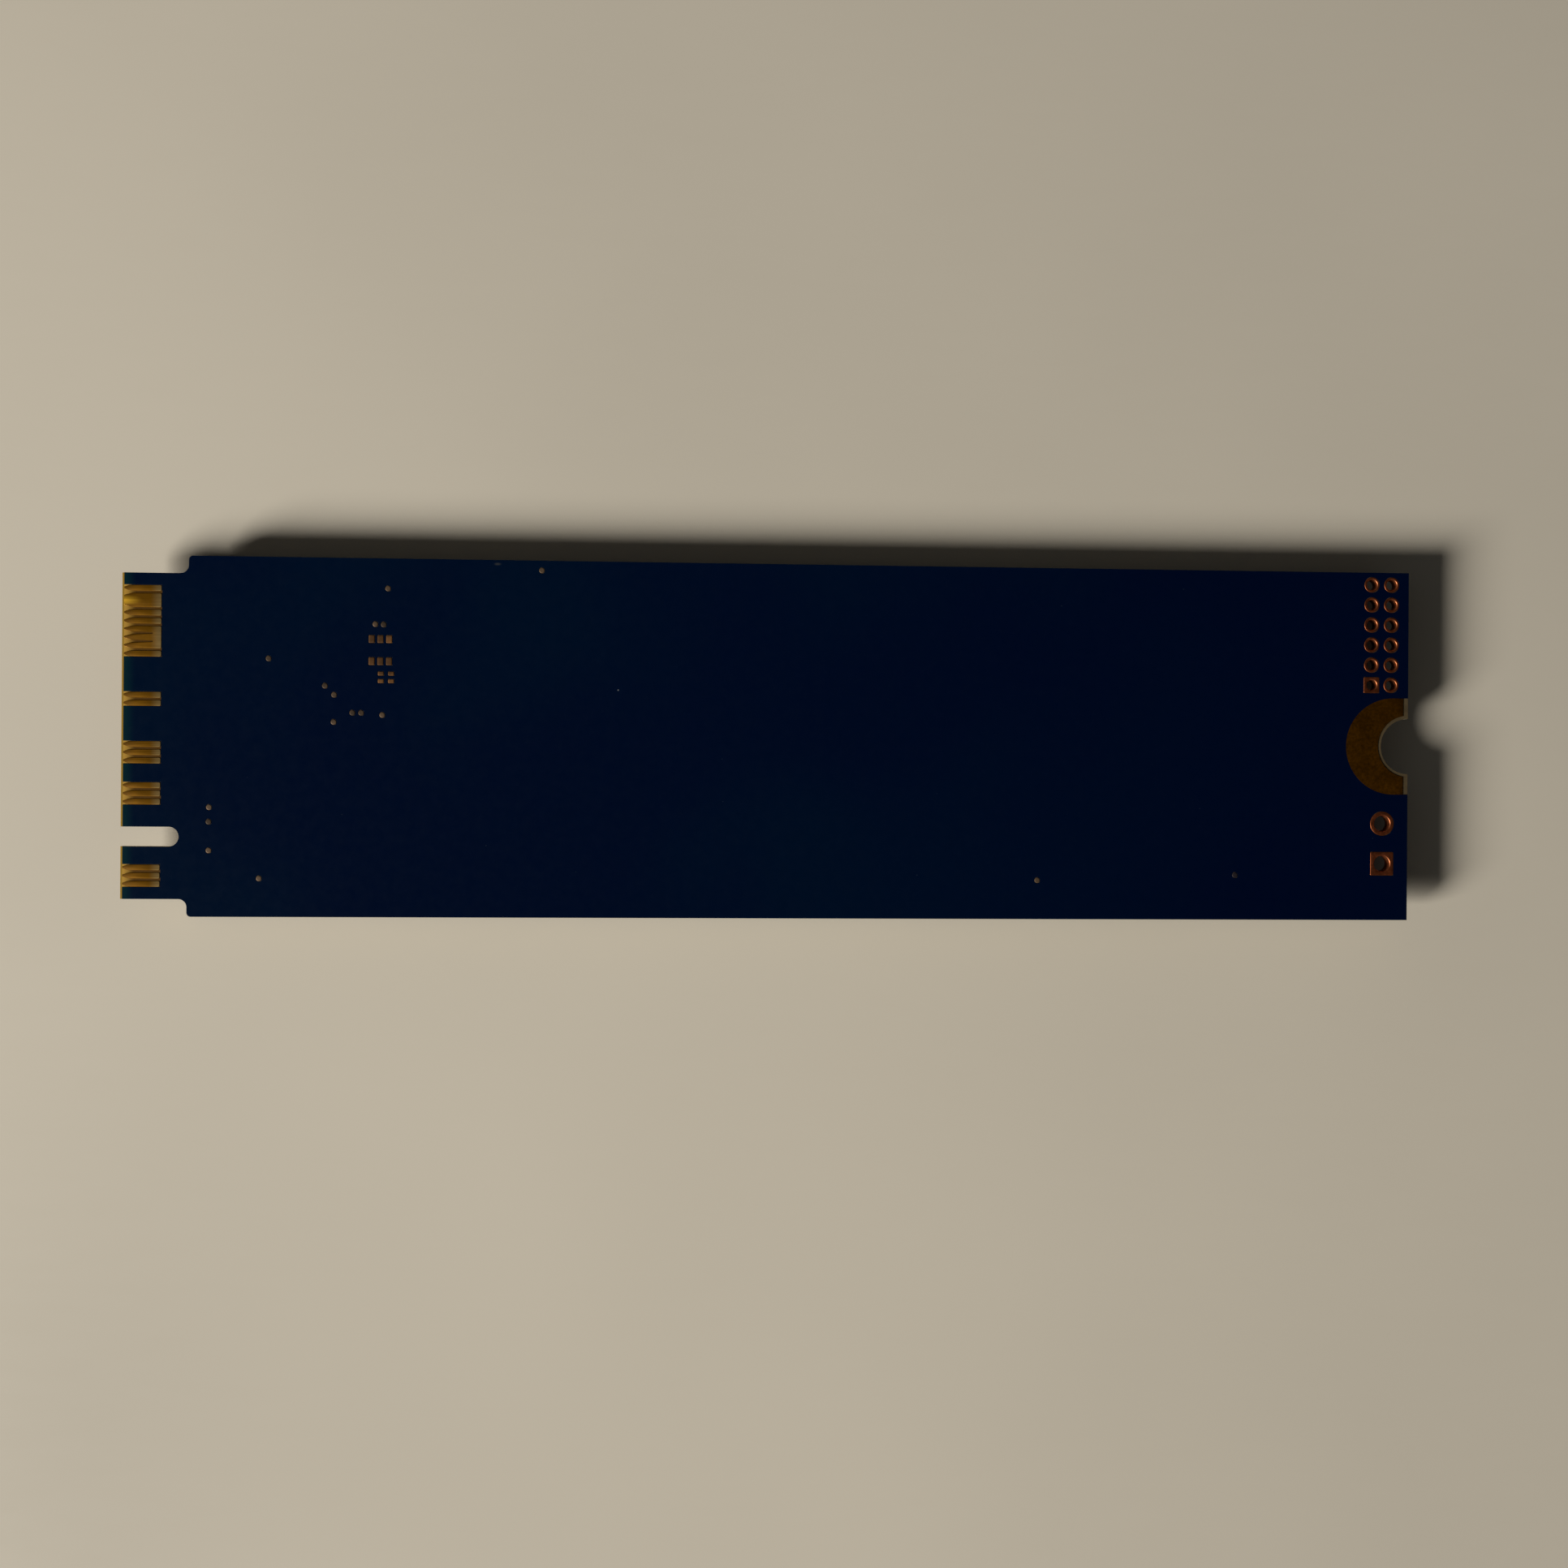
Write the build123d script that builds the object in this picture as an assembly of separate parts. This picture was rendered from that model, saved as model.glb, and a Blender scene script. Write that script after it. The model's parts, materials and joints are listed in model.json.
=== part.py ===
from build123d import *
import os

# A plug-in storage module, 22 by 80 mm, with every component on one side.
# It lies on its packages: Z is up, the bare back of the board faces up, X runs from
# the edge contacts to the screw end, and Z = 0 is the surface that it lies on.

# Board blank
board_length = 80.0
laminate_thickness = 0.75
copper_thickness = 0.035
mask_thickness = 0.025
mask_relief = 0.02
cut_overrun = 1.0
UP = 1
DOWN = -1

# Edge connector: tab, key notch and bevel
tab_margin = 0.5
tab_depth = 4.0
shoulder_width = 1.075
shoulder_fillet = 0.5
shoulder_corner = 0.25
key_width = 1.2
key_depth = 3.5
bevel_length = 0.15
bevel_depth = 0.12

# Edge connector: contacts. Pins are counted from 1 to 75, odd ones on the component side.
# A group is the count of its first pin and the count of its contacts.
pin_count = 75
key_pin_counts = (59, 66)
back_group_counts = ((2, 9), (28, 2), (40, 3), (50, 3), (70, 3))
front_group_counts = ((1, 29), (67, 5))
joined_pin_counts = ((4, 6),)
end_joined_pin_counts = ((12, 14), (14, 16))
contact_pitch = 0.5
contact_width = 0.35
contact_length = 2.24
contact_tip_width = 0.1
contact_tip_length = 0.45
contact_corner = 0.08
contact_bridge_length = 0.4
contact_mask_relief = 0.02

# Screw end: half hole and the bare copper round it
screw_hole_radius = 1.75
screw_pad_radius = 3.05
screw_pad_inset = 0.95
screw_copper_gap = 0.2
screw_edge_gap = 0.31

# Plated holes of the two unfitted headers
small_round_sides = 12
small_round_limit = 0.5
plating_thickness = 0.025
debug_pitch = 1.27
debug_columns = 2
debug_rows = 6
debug_hole_radius = 0.325
debug_pad_radius = 0.48
debug_square_side = 1.0
debug_end_margin = 1.11
debug_screw_margin = 0.83
power_pitch = 2.54
power_hole_radius = 0.5
power_pad_radius = 0.76
power_square_side = 1.48
power_end_margin = 1.64
power_screw_margin = 1.84

# Bare copper dots on the back, as shares of half the board's length and width
dot_sides = 8
test_pad_radius = 0.17
test_pad_shares = (
    (-0.6000, 0.832),
    (-0.3660, 0.945),
    (-0.6188, 0.633),
    (-0.6063, 0.631),
    (-0.7795, 0.435),
    (-0.6945, 0.287),
    (-0.6805, 0.237),
    (-0.6528, 0.138),
    (-0.6395, 0.138),
    (-0.6075, 0.127),
    (-0.6810, 0.086),
    (-0.8673, -0.393),
    (-0.8678, -0.473),
    (-0.8675, -0.632),
    (-0.7918, -0.786),
    (0.4078, -0.779),
    (0.7225, -0.745),
)

# Small rectangular pads on the back where nothing is fitted
spare_pad_length = 0.36
spare_pad_width = 0.47
spare_pad_pitch = 0.53
spare_row_pitch = 1.36
spare_column_count = 3
spare_row_count = 2
spare_group_shares = (-0.6110, 0.488)
tiny_pad_width = 0.24
tiny_pad_pitch = 0.62
tiny_row_pitch = 0.46
tiny_pad_count = 2
tiny_group_shares = (-0.6023, 0.337)

# Spaces between the components on the underside
connector_clearance = 1.2
edge_clearance = 1.0
zone_gap = 0.8
package_gap = 2.0
flash_gap = 5.0
column_gap = 0.5
row_gap = 0.9
chip_row_gap = 0.35

# Ball grid packages
package_height = 1.4
substrate_thickness = 0.24
ball_height = 0.22
flash_length = 12.0
flash_width = 18.0
flash_ball_pitch = 1.0
flash_ball_size = 0.4
flash_ball_columns = 11
flash_ball_rows = 17
controller_length = 12.0
controller_width = 12.0
controller_ball_pitch = 1.0
controller_ball_size = 0.4
controller_ball_count = 11
cache_length = 7.5
cache_width = 13.3
cache_height = 1.1
cache_ball_pitch = 0.8
cache_ball_size = 0.36
cache_ball_columns = 9
cache_ball_rows = 16
mark_radius = 0.45
mark_depth = 0.03
mark_margin = 1.0

# Flat leadless packages
lead_thickness = 0.1
lead_width = 0.26
lead_length = 0.45
power_chip_length = 4.0
power_chip_height = 0.85
power_lead_pitch = 0.65
power_lead_count = 5
boot_flash_length = 2.0
boot_flash_width = 3.0
boot_flash_height = 0.6
boot_lead_pitch = 0.65
boot_lead_count = 4
load_switch_length = 2.0
load_switch_height = 0.75
load_lead_pitch = 0.6
load_lead_count = 3
sensor_length = 1.6
sensor_width = 1.2
sensor_height = 0.55
sensor_lead_pitch = 0.5
sensor_lead_count = 2
sensor_lead_length = 0.3

# Inductors and the crystal
inductor_length = 2.5
inductor_width = 2.0
inductor_height = 1.2
inductor_chamfer = 0.2
inductor_terminal_length = 0.6
inductor_count = 3
crystal_length = 2.0
crystal_width = 2.5
crystal_base_height = 0.35
crystal_lid_height = 0.2
crystal_lid_margin = 0.12

# Chip capacitors, resistors and ferrites: length, width, height and end cap
end_wrap = 0.02
small_capacitor_length = 1.0
small_capacitor_width = 0.5
small_capacitor_height = 0.5
small_capacitor_end = 0.25
large_capacitor_length = 1.6
large_capacitor_width = 0.8
large_capacitor_height = 0.8
large_capacitor_end = 0.35
bulk_capacitor_length = 2.0
bulk_capacitor_width = 1.25
bulk_capacitor_height = 1.25
bulk_capacitor_end = 0.45
coupling_length = 0.6
coupling_width = 0.3
coupling_height = 0.3
coupling_end = 0.15
resistor_length = 1.0
resistor_width = 0.5
resistor_height = 0.35
resistor_end = 0.2
glaze_thickness = 0.02
ferrite_length = 1.6
ferrite_width = 0.8
ferrite_height = 0.7
ferrite_end = 0.3
chip_pitch = 1.6
controller_chip_count = 4
cache_chip_count = 4
flash_chip_count = 3
coupling_pin_counts = (5, 7, 17, 19, 29, 31, 41, 43)

# Levels of the stack, upwards from the surface that the packages lie on
mask_front_z = package_height
laminate_front_z = mask_front_z + mask_thickness
laminate_back_z = laminate_front_z + laminate_thickness
mask_back_z = laminate_back_z + mask_thickness

# Width across the tab, then across the board
tab_width = (pin_count - 1) * contact_pitch / 2 + contact_width + 2 * tab_margin
board_width = tab_width + 2 * shoulder_width

# Stations along the board, from the contacts to the screw end
front_x = -board_length / 2
far_x = board_length / 2
side_y = board_width / 2
shoulder_x = front_x + tab_depth
contact_front_x = front_x + bevel_length
contact_end_x = contact_front_x + contact_length
coupling_x = shoulder_x + connector_clearance + coupling_length / 2
power_zone_x = coupling_x + coupling_length / 2 + zone_gap
power_column_step = inductor_length + column_gap
power_columns = [power_zone_x + inductor_length / 2 + i * power_column_step for i in range(inductor_count)]
power_zone_end_x = power_columns[-1] + inductor_length / 2
controller_x = power_zone_end_x + package_gap + controller_length / 2
cache_x = controller_x + controller_length / 2 + package_gap + cache_length / 2
flash_a_x = cache_x + cache_length / 2 + package_gap + flash_length / 2
flash_b_x = flash_a_x + flash_length + flash_gap
between_flash_x = (flash_a_x + flash_b_x) / 2
screw_pad_x = far_x - screw_pad_inset
after_flash_x = flash_b_x + flash_length / 2 + package_gap

# Rows of the power zone, from the side by pin 1 downwards
inductor_y = side_y - edge_clearance - inductor_width / 2
power_chip_row_y = inductor_y - inductor_width / 2 - chip_row_gap - small_capacitor_width / 2
power_chip_y = power_chip_row_y - small_capacitor_width / 2 - chip_row_gap - power_chip_length / 2
resistor_row_y = power_chip_y - power_chip_length / 2 - row_gap - resistor_length / 2
load_switch_y = resistor_row_y - resistor_length / 2 - row_gap - load_switch_length / 2
boot_flash_y = load_switch_y - crystal_width / 2 - row_gap - boot_flash_width / 2
bulk_y = -side_y + edge_clearance + bulk_capacitor_width / 2

# Row of the temperature sensor, beside the screw pad
sensor_y = screw_pad_radius + zone_gap + sensor_width / 2

HANG = (Align.CENTER, Align.CENTER, Align.MAX)


def pin_y(pin):
    return ((pin_count + 1) / 2 - pin) * contact_pitch / 2


def middle_y(first_pin, last_pin):
    return (pin_y(first_pin) + pin_y(last_pin)) / 2


def group_pins(groups):
    return [[first_pin + 2 * i for i in range(count)] for first_pin, count in groups]


def block(length, width, height, x, y, top):
    return Pos(x, y, top) * Box(length, width, height, align=HANG)


def plate(outline, bottom, thickness):
    return Pos(0, 0, bottom) * extrude(outline, thickness)


def round_outline(radius, grow=0):
    # A round under the limit is drawn with flat sides, to keep the facets few
    if radius < small_round_limit:
        return RegularPolygon(radius + grow, small_round_sides)
    return Circle(radius + grow)


def drill_outline(bore_radius):
    # The joint between plating and laminate is out of sight, so it has flat sides too
    return RegularPolygon(bore_radius + plating_thickness, small_round_sides, major_radius=False)


# Board outline

def key_slot():
    radius = key_width / 2
    straight = key_depth - radius + cut_overrun
    centre = Pos(front_x + key_depth - radius, middle_y(*key_pin_counts))
    channel = Pos(-straight / 2, 0) * Rectangle(straight, key_width)
    return centre * (channel + Circle(radius))


def nearest(sketch, x, y):
    return sorted(sketch.vertices(), key=lambda v: (v.X - x) ** 2 + (v.Y - y) ** 2)[0]


def board_outline():
    body = Pos(tab_depth / 2, 0) * Rectangle(board_length - tab_depth, board_width)
    tab_reach = tab_depth + cut_overrun
    tab = Pos(front_x + tab_reach / 2, 0) * Rectangle(tab_reach, tab_width)
    sketch = body + tab
    for side in (-1, 1):
        sketch = fillet(nearest(sketch, shoulder_x, side * tab_width / 2), shoulder_fillet)
        sketch = fillet(nearest(sketch, shoulder_x, side * side_y), shoulder_corner)
    half_hole = Pos(far_x, 0) * Circle(screw_hole_radius)
    return sketch - key_slot() - half_hole


def bevel_cut(face_z, into):
    corner = (front_x - cut_overrun, face_z - into * cut_overrun)
    slope = bevel_depth / bevel_length
    low = (front_x - cut_overrun, face_z + into * (bevel_depth + slope * cut_overrun))
    high = (front_x + bevel_length + cut_overrun, face_z - into * slope * cut_overrun)
    wedge = make_face(Polyline(corner, high, low, close=True))
    return extrude(Plane.XZ * wedge, board_width, both=True)


# Screw end

def screw_window(reach):
    straight = reach - screw_pad_x
    tail = Pos(screw_pad_x + straight / 2, 0) * Rectangle(straight, 2 * screw_pad_radius)
    return Pos(screw_pad_x, 0) * Circle(screw_pad_radius) + tail


def screw_copper():
    ring_edge = Pos(far_x, 0) * Circle(screw_hole_radius + screw_copper_gap)
    beyond = Pos(far_x - screw_edge_gap, 0) * Rectangle(
        screw_pad_radius * 2, screw_pad_radius * 4, align=(Align.MIN, Align.CENTER)
    )
    return screw_window(far_x) - ring_edge - beyond


# Plated holes: each is its place, its bore and the outline of its pad

def debug_holes():
    holes = []
    for column in range(debug_columns):
        for row in range(debug_rows):
            x = far_x - debug_end_margin - column * debug_pitch
            y = screw_pad_radius + debug_screw_margin + row * debug_pitch
            square = column == debug_columns - 1 and row == 0
            holes.append((x, y, square))
    return holes


def power_holes():
    x = far_x - power_end_margin
    y = -screw_pad_radius - power_screw_margin
    return [(x, y - power_pitch, True), (x, y, False)]


def pad_outline(radius, side, square, grow):
    if square:
        return Rectangle(side + 2 * grow, side + 2 * grow)
    return round_outline(radius, grow)


def plated_hole(x, y, bore_radius, pad):
    barrel = plate(drill_outline(bore_radius), laminate_front_z, laminate_thickness)
    under = plate(pad, laminate_front_z - copper_thickness, copper_thickness)
    over = plate(pad, laminate_back_z, copper_thickness)
    height = laminate_thickness + 2 * (copper_thickness + cut_overrun)
    bore = plate(round_outline(bore_radius), laminate_front_z - copper_thickness - cut_overrun, height)
    return Pos(x, y) * (barrel + under + over - bore)


def debug_rings():
    rings = []
    for x, y, square in debug_holes():
        pad = pad_outline(debug_pad_radius, debug_square_side, square, 0)
        rings.append(plated_hole(x, y, debug_hole_radius, pad))
    return rings


def power_rings():
    rings = []
    for x, y, square in power_holes():
        pad = pad_outline(power_pad_radius, power_square_side, square, 0)
        rings.append(plated_hole(x, y, power_hole_radius, pad))
    return rings


def ring_windows():
    windows = []
    for x, y, square in debug_holes():
        windows.append(Pos(x, y) * pad_outline(debug_pad_radius, debug_square_side, square, mask_relief))
    for x, y, square in power_holes():
        windows.append(Pos(x, y) * pad_outline(power_pad_radius, power_square_side, square, mask_relief))
    return windows


def drilled_holes():
    holes = []
    for x, y, square in debug_holes():
        holes.append(Pos(x, y) * drill_outline(debug_hole_radius))
    for x, y, square in power_holes():
        holes.append(Pos(x, y) * drill_outline(power_hole_radius))
    return holes


# Edge contacts

def contact_outline(pin, corner):
    half = contact_width / 2
    upper = [
        (contact_front_x, contact_tip_width / 2),
        (contact_front_x + contact_tip_length, half),
        (contact_end_x - corner, half),
    ]
    if corner > 0:
        upper.append((contact_end_x, half - corner))
    lower = [(x, -y) for x, y in reversed(upper)]
    return Pos(0, pin_y(pin)) * make_face(Polyline(*upper, *lower, close=True))


def bridge(first_pin, last_pin, start_x, end_x):
    centre = Pos((start_x + end_x) / 2, middle_y(first_pin, last_pin))
    return centre * Rectangle(end_x - start_x, pin_y(first_pin) - pin_y(last_pin))


def joined_outlines():
    bridges = []
    end_x = contact_end_x - contact_corner
    for first_pin, last_pin in joined_pin_counts:
        bridges.append(bridge(first_pin, last_pin, contact_front_x, end_x))
    for first_pin, last_pin in end_joined_pin_counts:
        bridges.append(bridge(first_pin, last_pin, end_x - contact_bridge_length, end_x))
    return bridges


def contacts(groups, corner, bridges, bottom):
    outline = Sketch()
    for pins in group_pins(groups):
        for pin in pins:
            outline += contact_outline(pin, corner)
    for link in bridges:
        outline += link
    return [plate(face, bottom, copper_thickness) for face in outline.faces()]


def contact_windows(groups):
    windows = []
    reach = contact_end_x + contact_mask_relief - front_x + cut_overrun
    for pins in group_pins(groups):
        width = pin_y(pins[0]) - pin_y(pins[-1]) + contact_width + 2 * contact_mask_relief
        centre = Pos(front_x - cut_overrun + reach / 2, middle_y(pins[0], pins[-1]))
        windows.append(centre * Rectangle(reach, width))
    return windows


# Bare dots and rectangular pads on the back

def dot_outlines(grow):
    dots = []
    for x_share, y_share in test_pad_shares:
        centre = Pos(x_share * far_x, y_share * side_y)
        dots.append(centre * RegularPolygon(test_pad_radius + grow, dot_sides))
    return dots


def spare_outlines(grow):
    pads = []
    x_share, y_share = spare_group_shares
    for place in GridLocations(spare_pad_pitch, spare_row_pitch, spare_column_count, spare_row_count):
        outline = Rectangle(spare_pad_length + 2 * grow, spare_pad_width + 2 * grow)
        pads.append(Pos(x_share * far_x, y_share * side_y) * place * outline)
    x_share, y_share = tiny_group_shares
    for place in GridLocations(tiny_pad_pitch, tiny_row_pitch, tiny_pad_count, tiny_pad_count):
        outline = Rectangle(spare_pad_length + 2 * grow, tiny_pad_width + 2 * grow)
        pads.append(Pos(x_share * far_x, y_share * side_y) * place * outline)
    return pads


# Laminate and the two mask sheets

def circuit_board():
    outline = board_outline() - drilled_holes()
    board = plate(outline, laminate_front_z, laminate_thickness)
    return board - bevel_cut(laminate_front_z, UP) - bevel_cut(laminate_back_z, DOWN)


def mask_sheet(bottom, windows):
    reach = board_length - bevel_length
    covered = Pos(far_x - reach / 2, 0) * Rectangle(reach, board_width)
    outline = board_outline() & covered
    outline = outline - screw_window(far_x + cut_overrun)
    outline = outline - windows
    return plate(outline, bottom, mask_thickness)


# Ball grid packages: balls against the mask, substrate, then the moulded body

def ball_ring(columns, rows, pitch, size, x, y):
    balls = []
    for column in range(columns):
        for row in range(rows):
            if 0 < column < columns - 1 and 0 < row < rows - 1:
                continue
            ball_x = x + (column - (columns - 1) / 2) * pitch
            ball_y = y + (row - (rows - 1) / 2) * pitch
            balls.append(block(size, size, ball_height, ball_x, ball_y, mask_front_z))
    return balls


def substrate(length, width, x, y):
    return block(length, width, substrate_thickness, x, y, mask_front_z - ball_height)


def mould(length, width, height, x, y):
    top = mask_front_z - ball_height - substrate_thickness
    thickness = height - ball_height - substrate_thickness
    body = block(length, width, thickness, x, y, top)
    mark_x = x - length / 2 + mark_margin
    mark_y = y + width / 2 - mark_margin
    dimple = Pos(mark_x, mark_y) * plate(round_outline(mark_radius), top - thickness, mark_depth)
    return body - dimple


# Flat leadless packages: leads against the mask, then the moulded body

def flat_mould(length, width, height, x, y):
    return block(length, width, height - lead_thickness, x, y, mask_front_z - lead_thickness)


def two_side_leads(length, width, count, pitch, reach, x, y):
    leads = []
    for side in (-1, 1):
        for i in range(count):
            lead_x = x + side * (length - reach) / 2
            lead_y = y + (i - (count - 1) / 2) * pitch
            leads.append(block(reach, lead_width, lead_thickness, lead_x, lead_y, mask_front_z))
    return leads


def four_side_leads(length, count, pitch, reach, x, y):
    leads = two_side_leads(length, length, count, pitch, reach, x, y)
    for side in (-1, 1):
        for i in range(count):
            lead_x = x + (i - (count - 1) / 2) * pitch
            lead_y = y + side * (length - reach) / 2
            leads.append(block(lead_width, reach, lead_thickness, lead_x, lead_y, mask_front_z))
    return leads


# Two-terminal chips: turned is True where the length runs across the board

def across(length, width, turned):
    return (width, length) if turned else (length, width)


def chip_body(length, width, height, end, place):
    x, y, turned = place
    inner = height - 2 * end_wrap
    size_x, size_y = across(length - 2 * end, width - 2 * end_wrap, turned)
    return block(size_x, size_y, inner, x, y, mask_front_z - end_wrap)


def chip_ends(length, width, height, end, place):
    x, y, turned = place
    size_x, size_y = across(end, width, turned)
    shift_x, shift_y = across((length - end) / 2, 0, turned)
    return [
        block(size_x, size_y, height, x - shift_x, y - shift_y, mask_front_z),
        block(size_x, size_y, height, x + shift_x, y + shift_y, mask_front_z),
    ]


def chips(length, width, height, end, places):
    bodies = [chip_body(length, width, height, end, place) for place in places]
    ends = []
    for place in places:
        ends += chip_ends(length, width, height, end, place)
    return bodies, ends


def row_places(centre_x, y, count, turned):
    return [(centre_x + (i - (count - 1) / 2) * chip_pitch, y, turned) for i in range(count)]


def column_places(x, centre_y, count, pitch, turned):
    return [(x, centre_y + (i - (count - 1) / 2) * pitch, turned) for i in range(count)]


# Places of the chips on the underside

def small_capacitor_places():
    beside = package_gap / 2 + small_capacitor_length / 2
    places = [(x, power_chip_row_y, False) for x in power_columns]
    places += row_places(controller_x, controller_width / 2 + beside, controller_chip_count, True)
    places += row_places(controller_x, -controller_width / 2 - beside, controller_chip_count, True)
    places += row_places(cache_x, cache_width / 2 + beside, cache_chip_count, True)
    places += row_places(cache_x, -cache_width / 2 - beside, cache_chip_count, True)
    return places


def large_capacitor_places():
    step = large_capacitor_length + column_gap
    places = column_places(power_columns[0], power_chip_y, 2, step, True)
    places += column_places(power_columns[-1], power_chip_y, 2, step, True)
    places += column_places(between_flash_x, side_y / 2, flash_chip_count, step, False)
    places += column_places(between_flash_x, -side_y / 2, flash_chip_count, step, False)
    return places


def bulk_capacitor_places():
    places = [(x, bulk_y, False) for x in power_columns]
    places.append((between_flash_x, 0, False))
    return places


def resistor_places():
    upper_y = side_y - edge_clearance - resistor_width / 2
    places = row_places(power_columns[1], resistor_row_y, 4, True)
    places += row_places(controller_x, upper_y, 3, False)
    places += column_places(after_flash_x, -side_y / 2, flash_chip_count, chip_pitch, False)
    return places


def ferrite_places():
    lower_y = -side_y + edge_clearance + ferrite_width / 2
    step = ferrite_length + package_gap
    return [(controller_x - step / 2, lower_y, False), (controller_x + step / 2, lower_y, False)]


def coupling_places():
    return [(coupling_x, pin_y(pin), False) for pin in coupling_pin_counts]


# Inductors and the crystal

def inductor_cores():
    cores = []
    for x in power_columns:
        core = block(
            inductor_length, inductor_width, inductor_height - lead_thickness, x, inductor_y,
            mask_front_z - lead_thickness,
        )
        cores.append(chamfer(core.edges().filter_by(Axis.Z), inductor_chamfer))
    return cores


def inductor_terminals():
    terminals = []
    shift = (inductor_length - inductor_terminal_length) / 2
    for x in power_columns:
        for side in (-1, 1):
            width = inductor_width - 2 * inductor_chamfer
            centre_x = x + side * shift
            terminals.append(
                block(inductor_terminal_length, width, lead_thickness, centre_x, inductor_y, mask_front_z)
            )
    return terminals


def crystal():
    x = power_columns[-1]
    base = block(crystal_length, crystal_width, crystal_base_height, x, load_switch_y, mask_front_z)
    lid_length = crystal_length - 2 * crystal_lid_margin
    lid_width = crystal_width - 2 * crystal_lid_margin
    lid_top = mask_front_z - crystal_base_height
    lid = block(lid_length, lid_width, crystal_lid_height, x, load_switch_y, lid_top)
    return base, lid


# The module

def write(name, solids):
    export_step(Compound(children=list(solids)), os.path.join("parts", name + ".step"))


def write_board():
    write("circuit_board", [circuit_board()])
    back = contact_windows(back_group_counts) + ring_windows() + dot_outlines(mask_relief)
    write("solder_mask_back", [mask_sheet(laminate_back_z, back + spare_outlines(mask_relief))])
    front = contact_windows(front_group_counts) + ring_windows()
    write("solder_mask_front", [mask_sheet(mask_front_z, front)])
    copper_front_z = laminate_front_z - copper_thickness
    joined = joined_outlines()
    write("edge_contacts_back", contacts(back_group_counts, contact_corner, joined, laminate_back_z))
    write("edge_contacts_front", contacts(front_group_counts, 0, [], copper_front_z))
    write("screw_pad_back", [plate(screw_copper(), laminate_back_z, copper_thickness)])
    write("screw_pad_front", [plate(screw_copper(), copper_front_z, copper_thickness)])
    write("debug_header_rings", debug_rings())
    write("power_header_rings", power_rings())
    write("test_pads", [plate(dot, laminate_back_z, copper_thickness) for dot in dot_outlines(0)])
    pads = [plate(pad, laminate_back_z, copper_thickness) for pad in spare_outlines(0)]
    write("unfitted_part_pads", pads)


def write_ball_package(name, length, width, height, x, balls):
    write(name + "_substrate", [substrate(length, width, x, 0)])
    write(name + "_mould", [mould(length, width, height, x, 0)])
    write(name + "_balls", balls)


def write_ball_packages():
    for name, x in (("flash_a", flash_a_x), ("flash_b", flash_b_x)):
        balls = ball_ring(flash_ball_columns, flash_ball_rows, flash_ball_pitch, flash_ball_size, x, 0)
        write_ball_package(name, flash_length, flash_width, package_height, x, balls)
    x = controller_x
    count = controller_ball_count
    balls = ball_ring(count, count, controller_ball_pitch, controller_ball_size, x, 0)
    write_ball_package("controller", controller_length, controller_width, package_height, x, balls)
    balls = ball_ring(cache_ball_columns, cache_ball_rows, cache_ball_pitch, cache_ball_size, cache_x, 0)
    write_ball_package("cache_memory", cache_length, cache_width, cache_height, cache_x, balls)


def write_flat_packages():
    x = power_columns[1]
    size = power_chip_length
    write("power_chip_mould", [flat_mould(size, size, power_chip_height, x, power_chip_y)])
    leads = four_side_leads(size, power_lead_count, power_lead_pitch, lead_length, x, power_chip_y)
    write("power_chip_leads", leads)
    size = load_switch_length
    x = power_columns[0]
    write("load_switch_mould", [flat_mould(size, size, load_switch_height, x, load_switch_y)])
    leads = two_side_leads(size, size, load_lead_count, load_lead_pitch, lead_length, x, load_switch_y)
    write("load_switch_leads", leads)
    length, width = boot_flash_length, boot_flash_width
    x = power_columns[1]
    write("boot_flash_mould", [flat_mould(length, width, boot_flash_height, x, boot_flash_y)])
    leads = two_side_leads(length, width, boot_lead_count, boot_lead_pitch, lead_length, x, boot_flash_y)
    write("boot_flash_leads", leads)
    length, width = sensor_length, sensor_width
    x = after_flash_x
    write("temperature_sensor_mould", [flat_mould(length, width, sensor_height, x, sensor_y)])
    reach = sensor_lead_length
    leads = two_side_leads(length, width, sensor_lead_count, sensor_lead_pitch, reach, x, sensor_y)
    write("temperature_sensor_leads", leads)


def write_chips():
    bodies, ends = chips(
        small_capacitor_length, small_capacitor_width, small_capacitor_height,
        small_capacitor_end, small_capacitor_places(),
    )
    write("small_capacitor_bodies", bodies)
    write("small_capacitor_ends", ends)
    bodies, ends = chips(
        large_capacitor_length, large_capacitor_width, large_capacitor_height,
        large_capacitor_end, large_capacitor_places(),
    )
    write("large_capacitor_bodies", bodies)
    write("large_capacitor_ends", ends)
    bodies, ends = chips(
        bulk_capacitor_length, bulk_capacitor_width, bulk_capacitor_height,
        bulk_capacitor_end, bulk_capacitor_places(),
    )
    write("bulk_capacitor_bodies", bodies)
    write("bulk_capacitor_ends", ends)
    bodies, ends = chips(
        coupling_length, coupling_width, coupling_height, coupling_end, coupling_places()
    )
    write("coupling_capacitor_bodies", bodies)
    write("coupling_capacitor_ends", ends)
    bodies, ends = chips(ferrite_length, ferrite_width, ferrite_height, ferrite_end, ferrite_places())
    write("ferrite_bodies", bodies)
    write("ferrite_ends", ends)


def write_resistors():
    core_height = resistor_height - glaze_thickness
    places = resistor_places()
    bodies, ends = chips(resistor_length, resistor_width, core_height, resistor_end, places)
    glaze = []
    for x, y, turned in places:
        size_x, size_y = across(resistor_length - 2 * resistor_end, resistor_width - 2 * end_wrap, turned)
        top = mask_front_z - core_height + end_wrap
        glaze.append(block(size_x, size_y, glaze_thickness, x, y, top))
    write("resistor_bodies", bodies)
    write("resistor_glaze", glaze)
    write("resistor_ends", ends)


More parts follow.
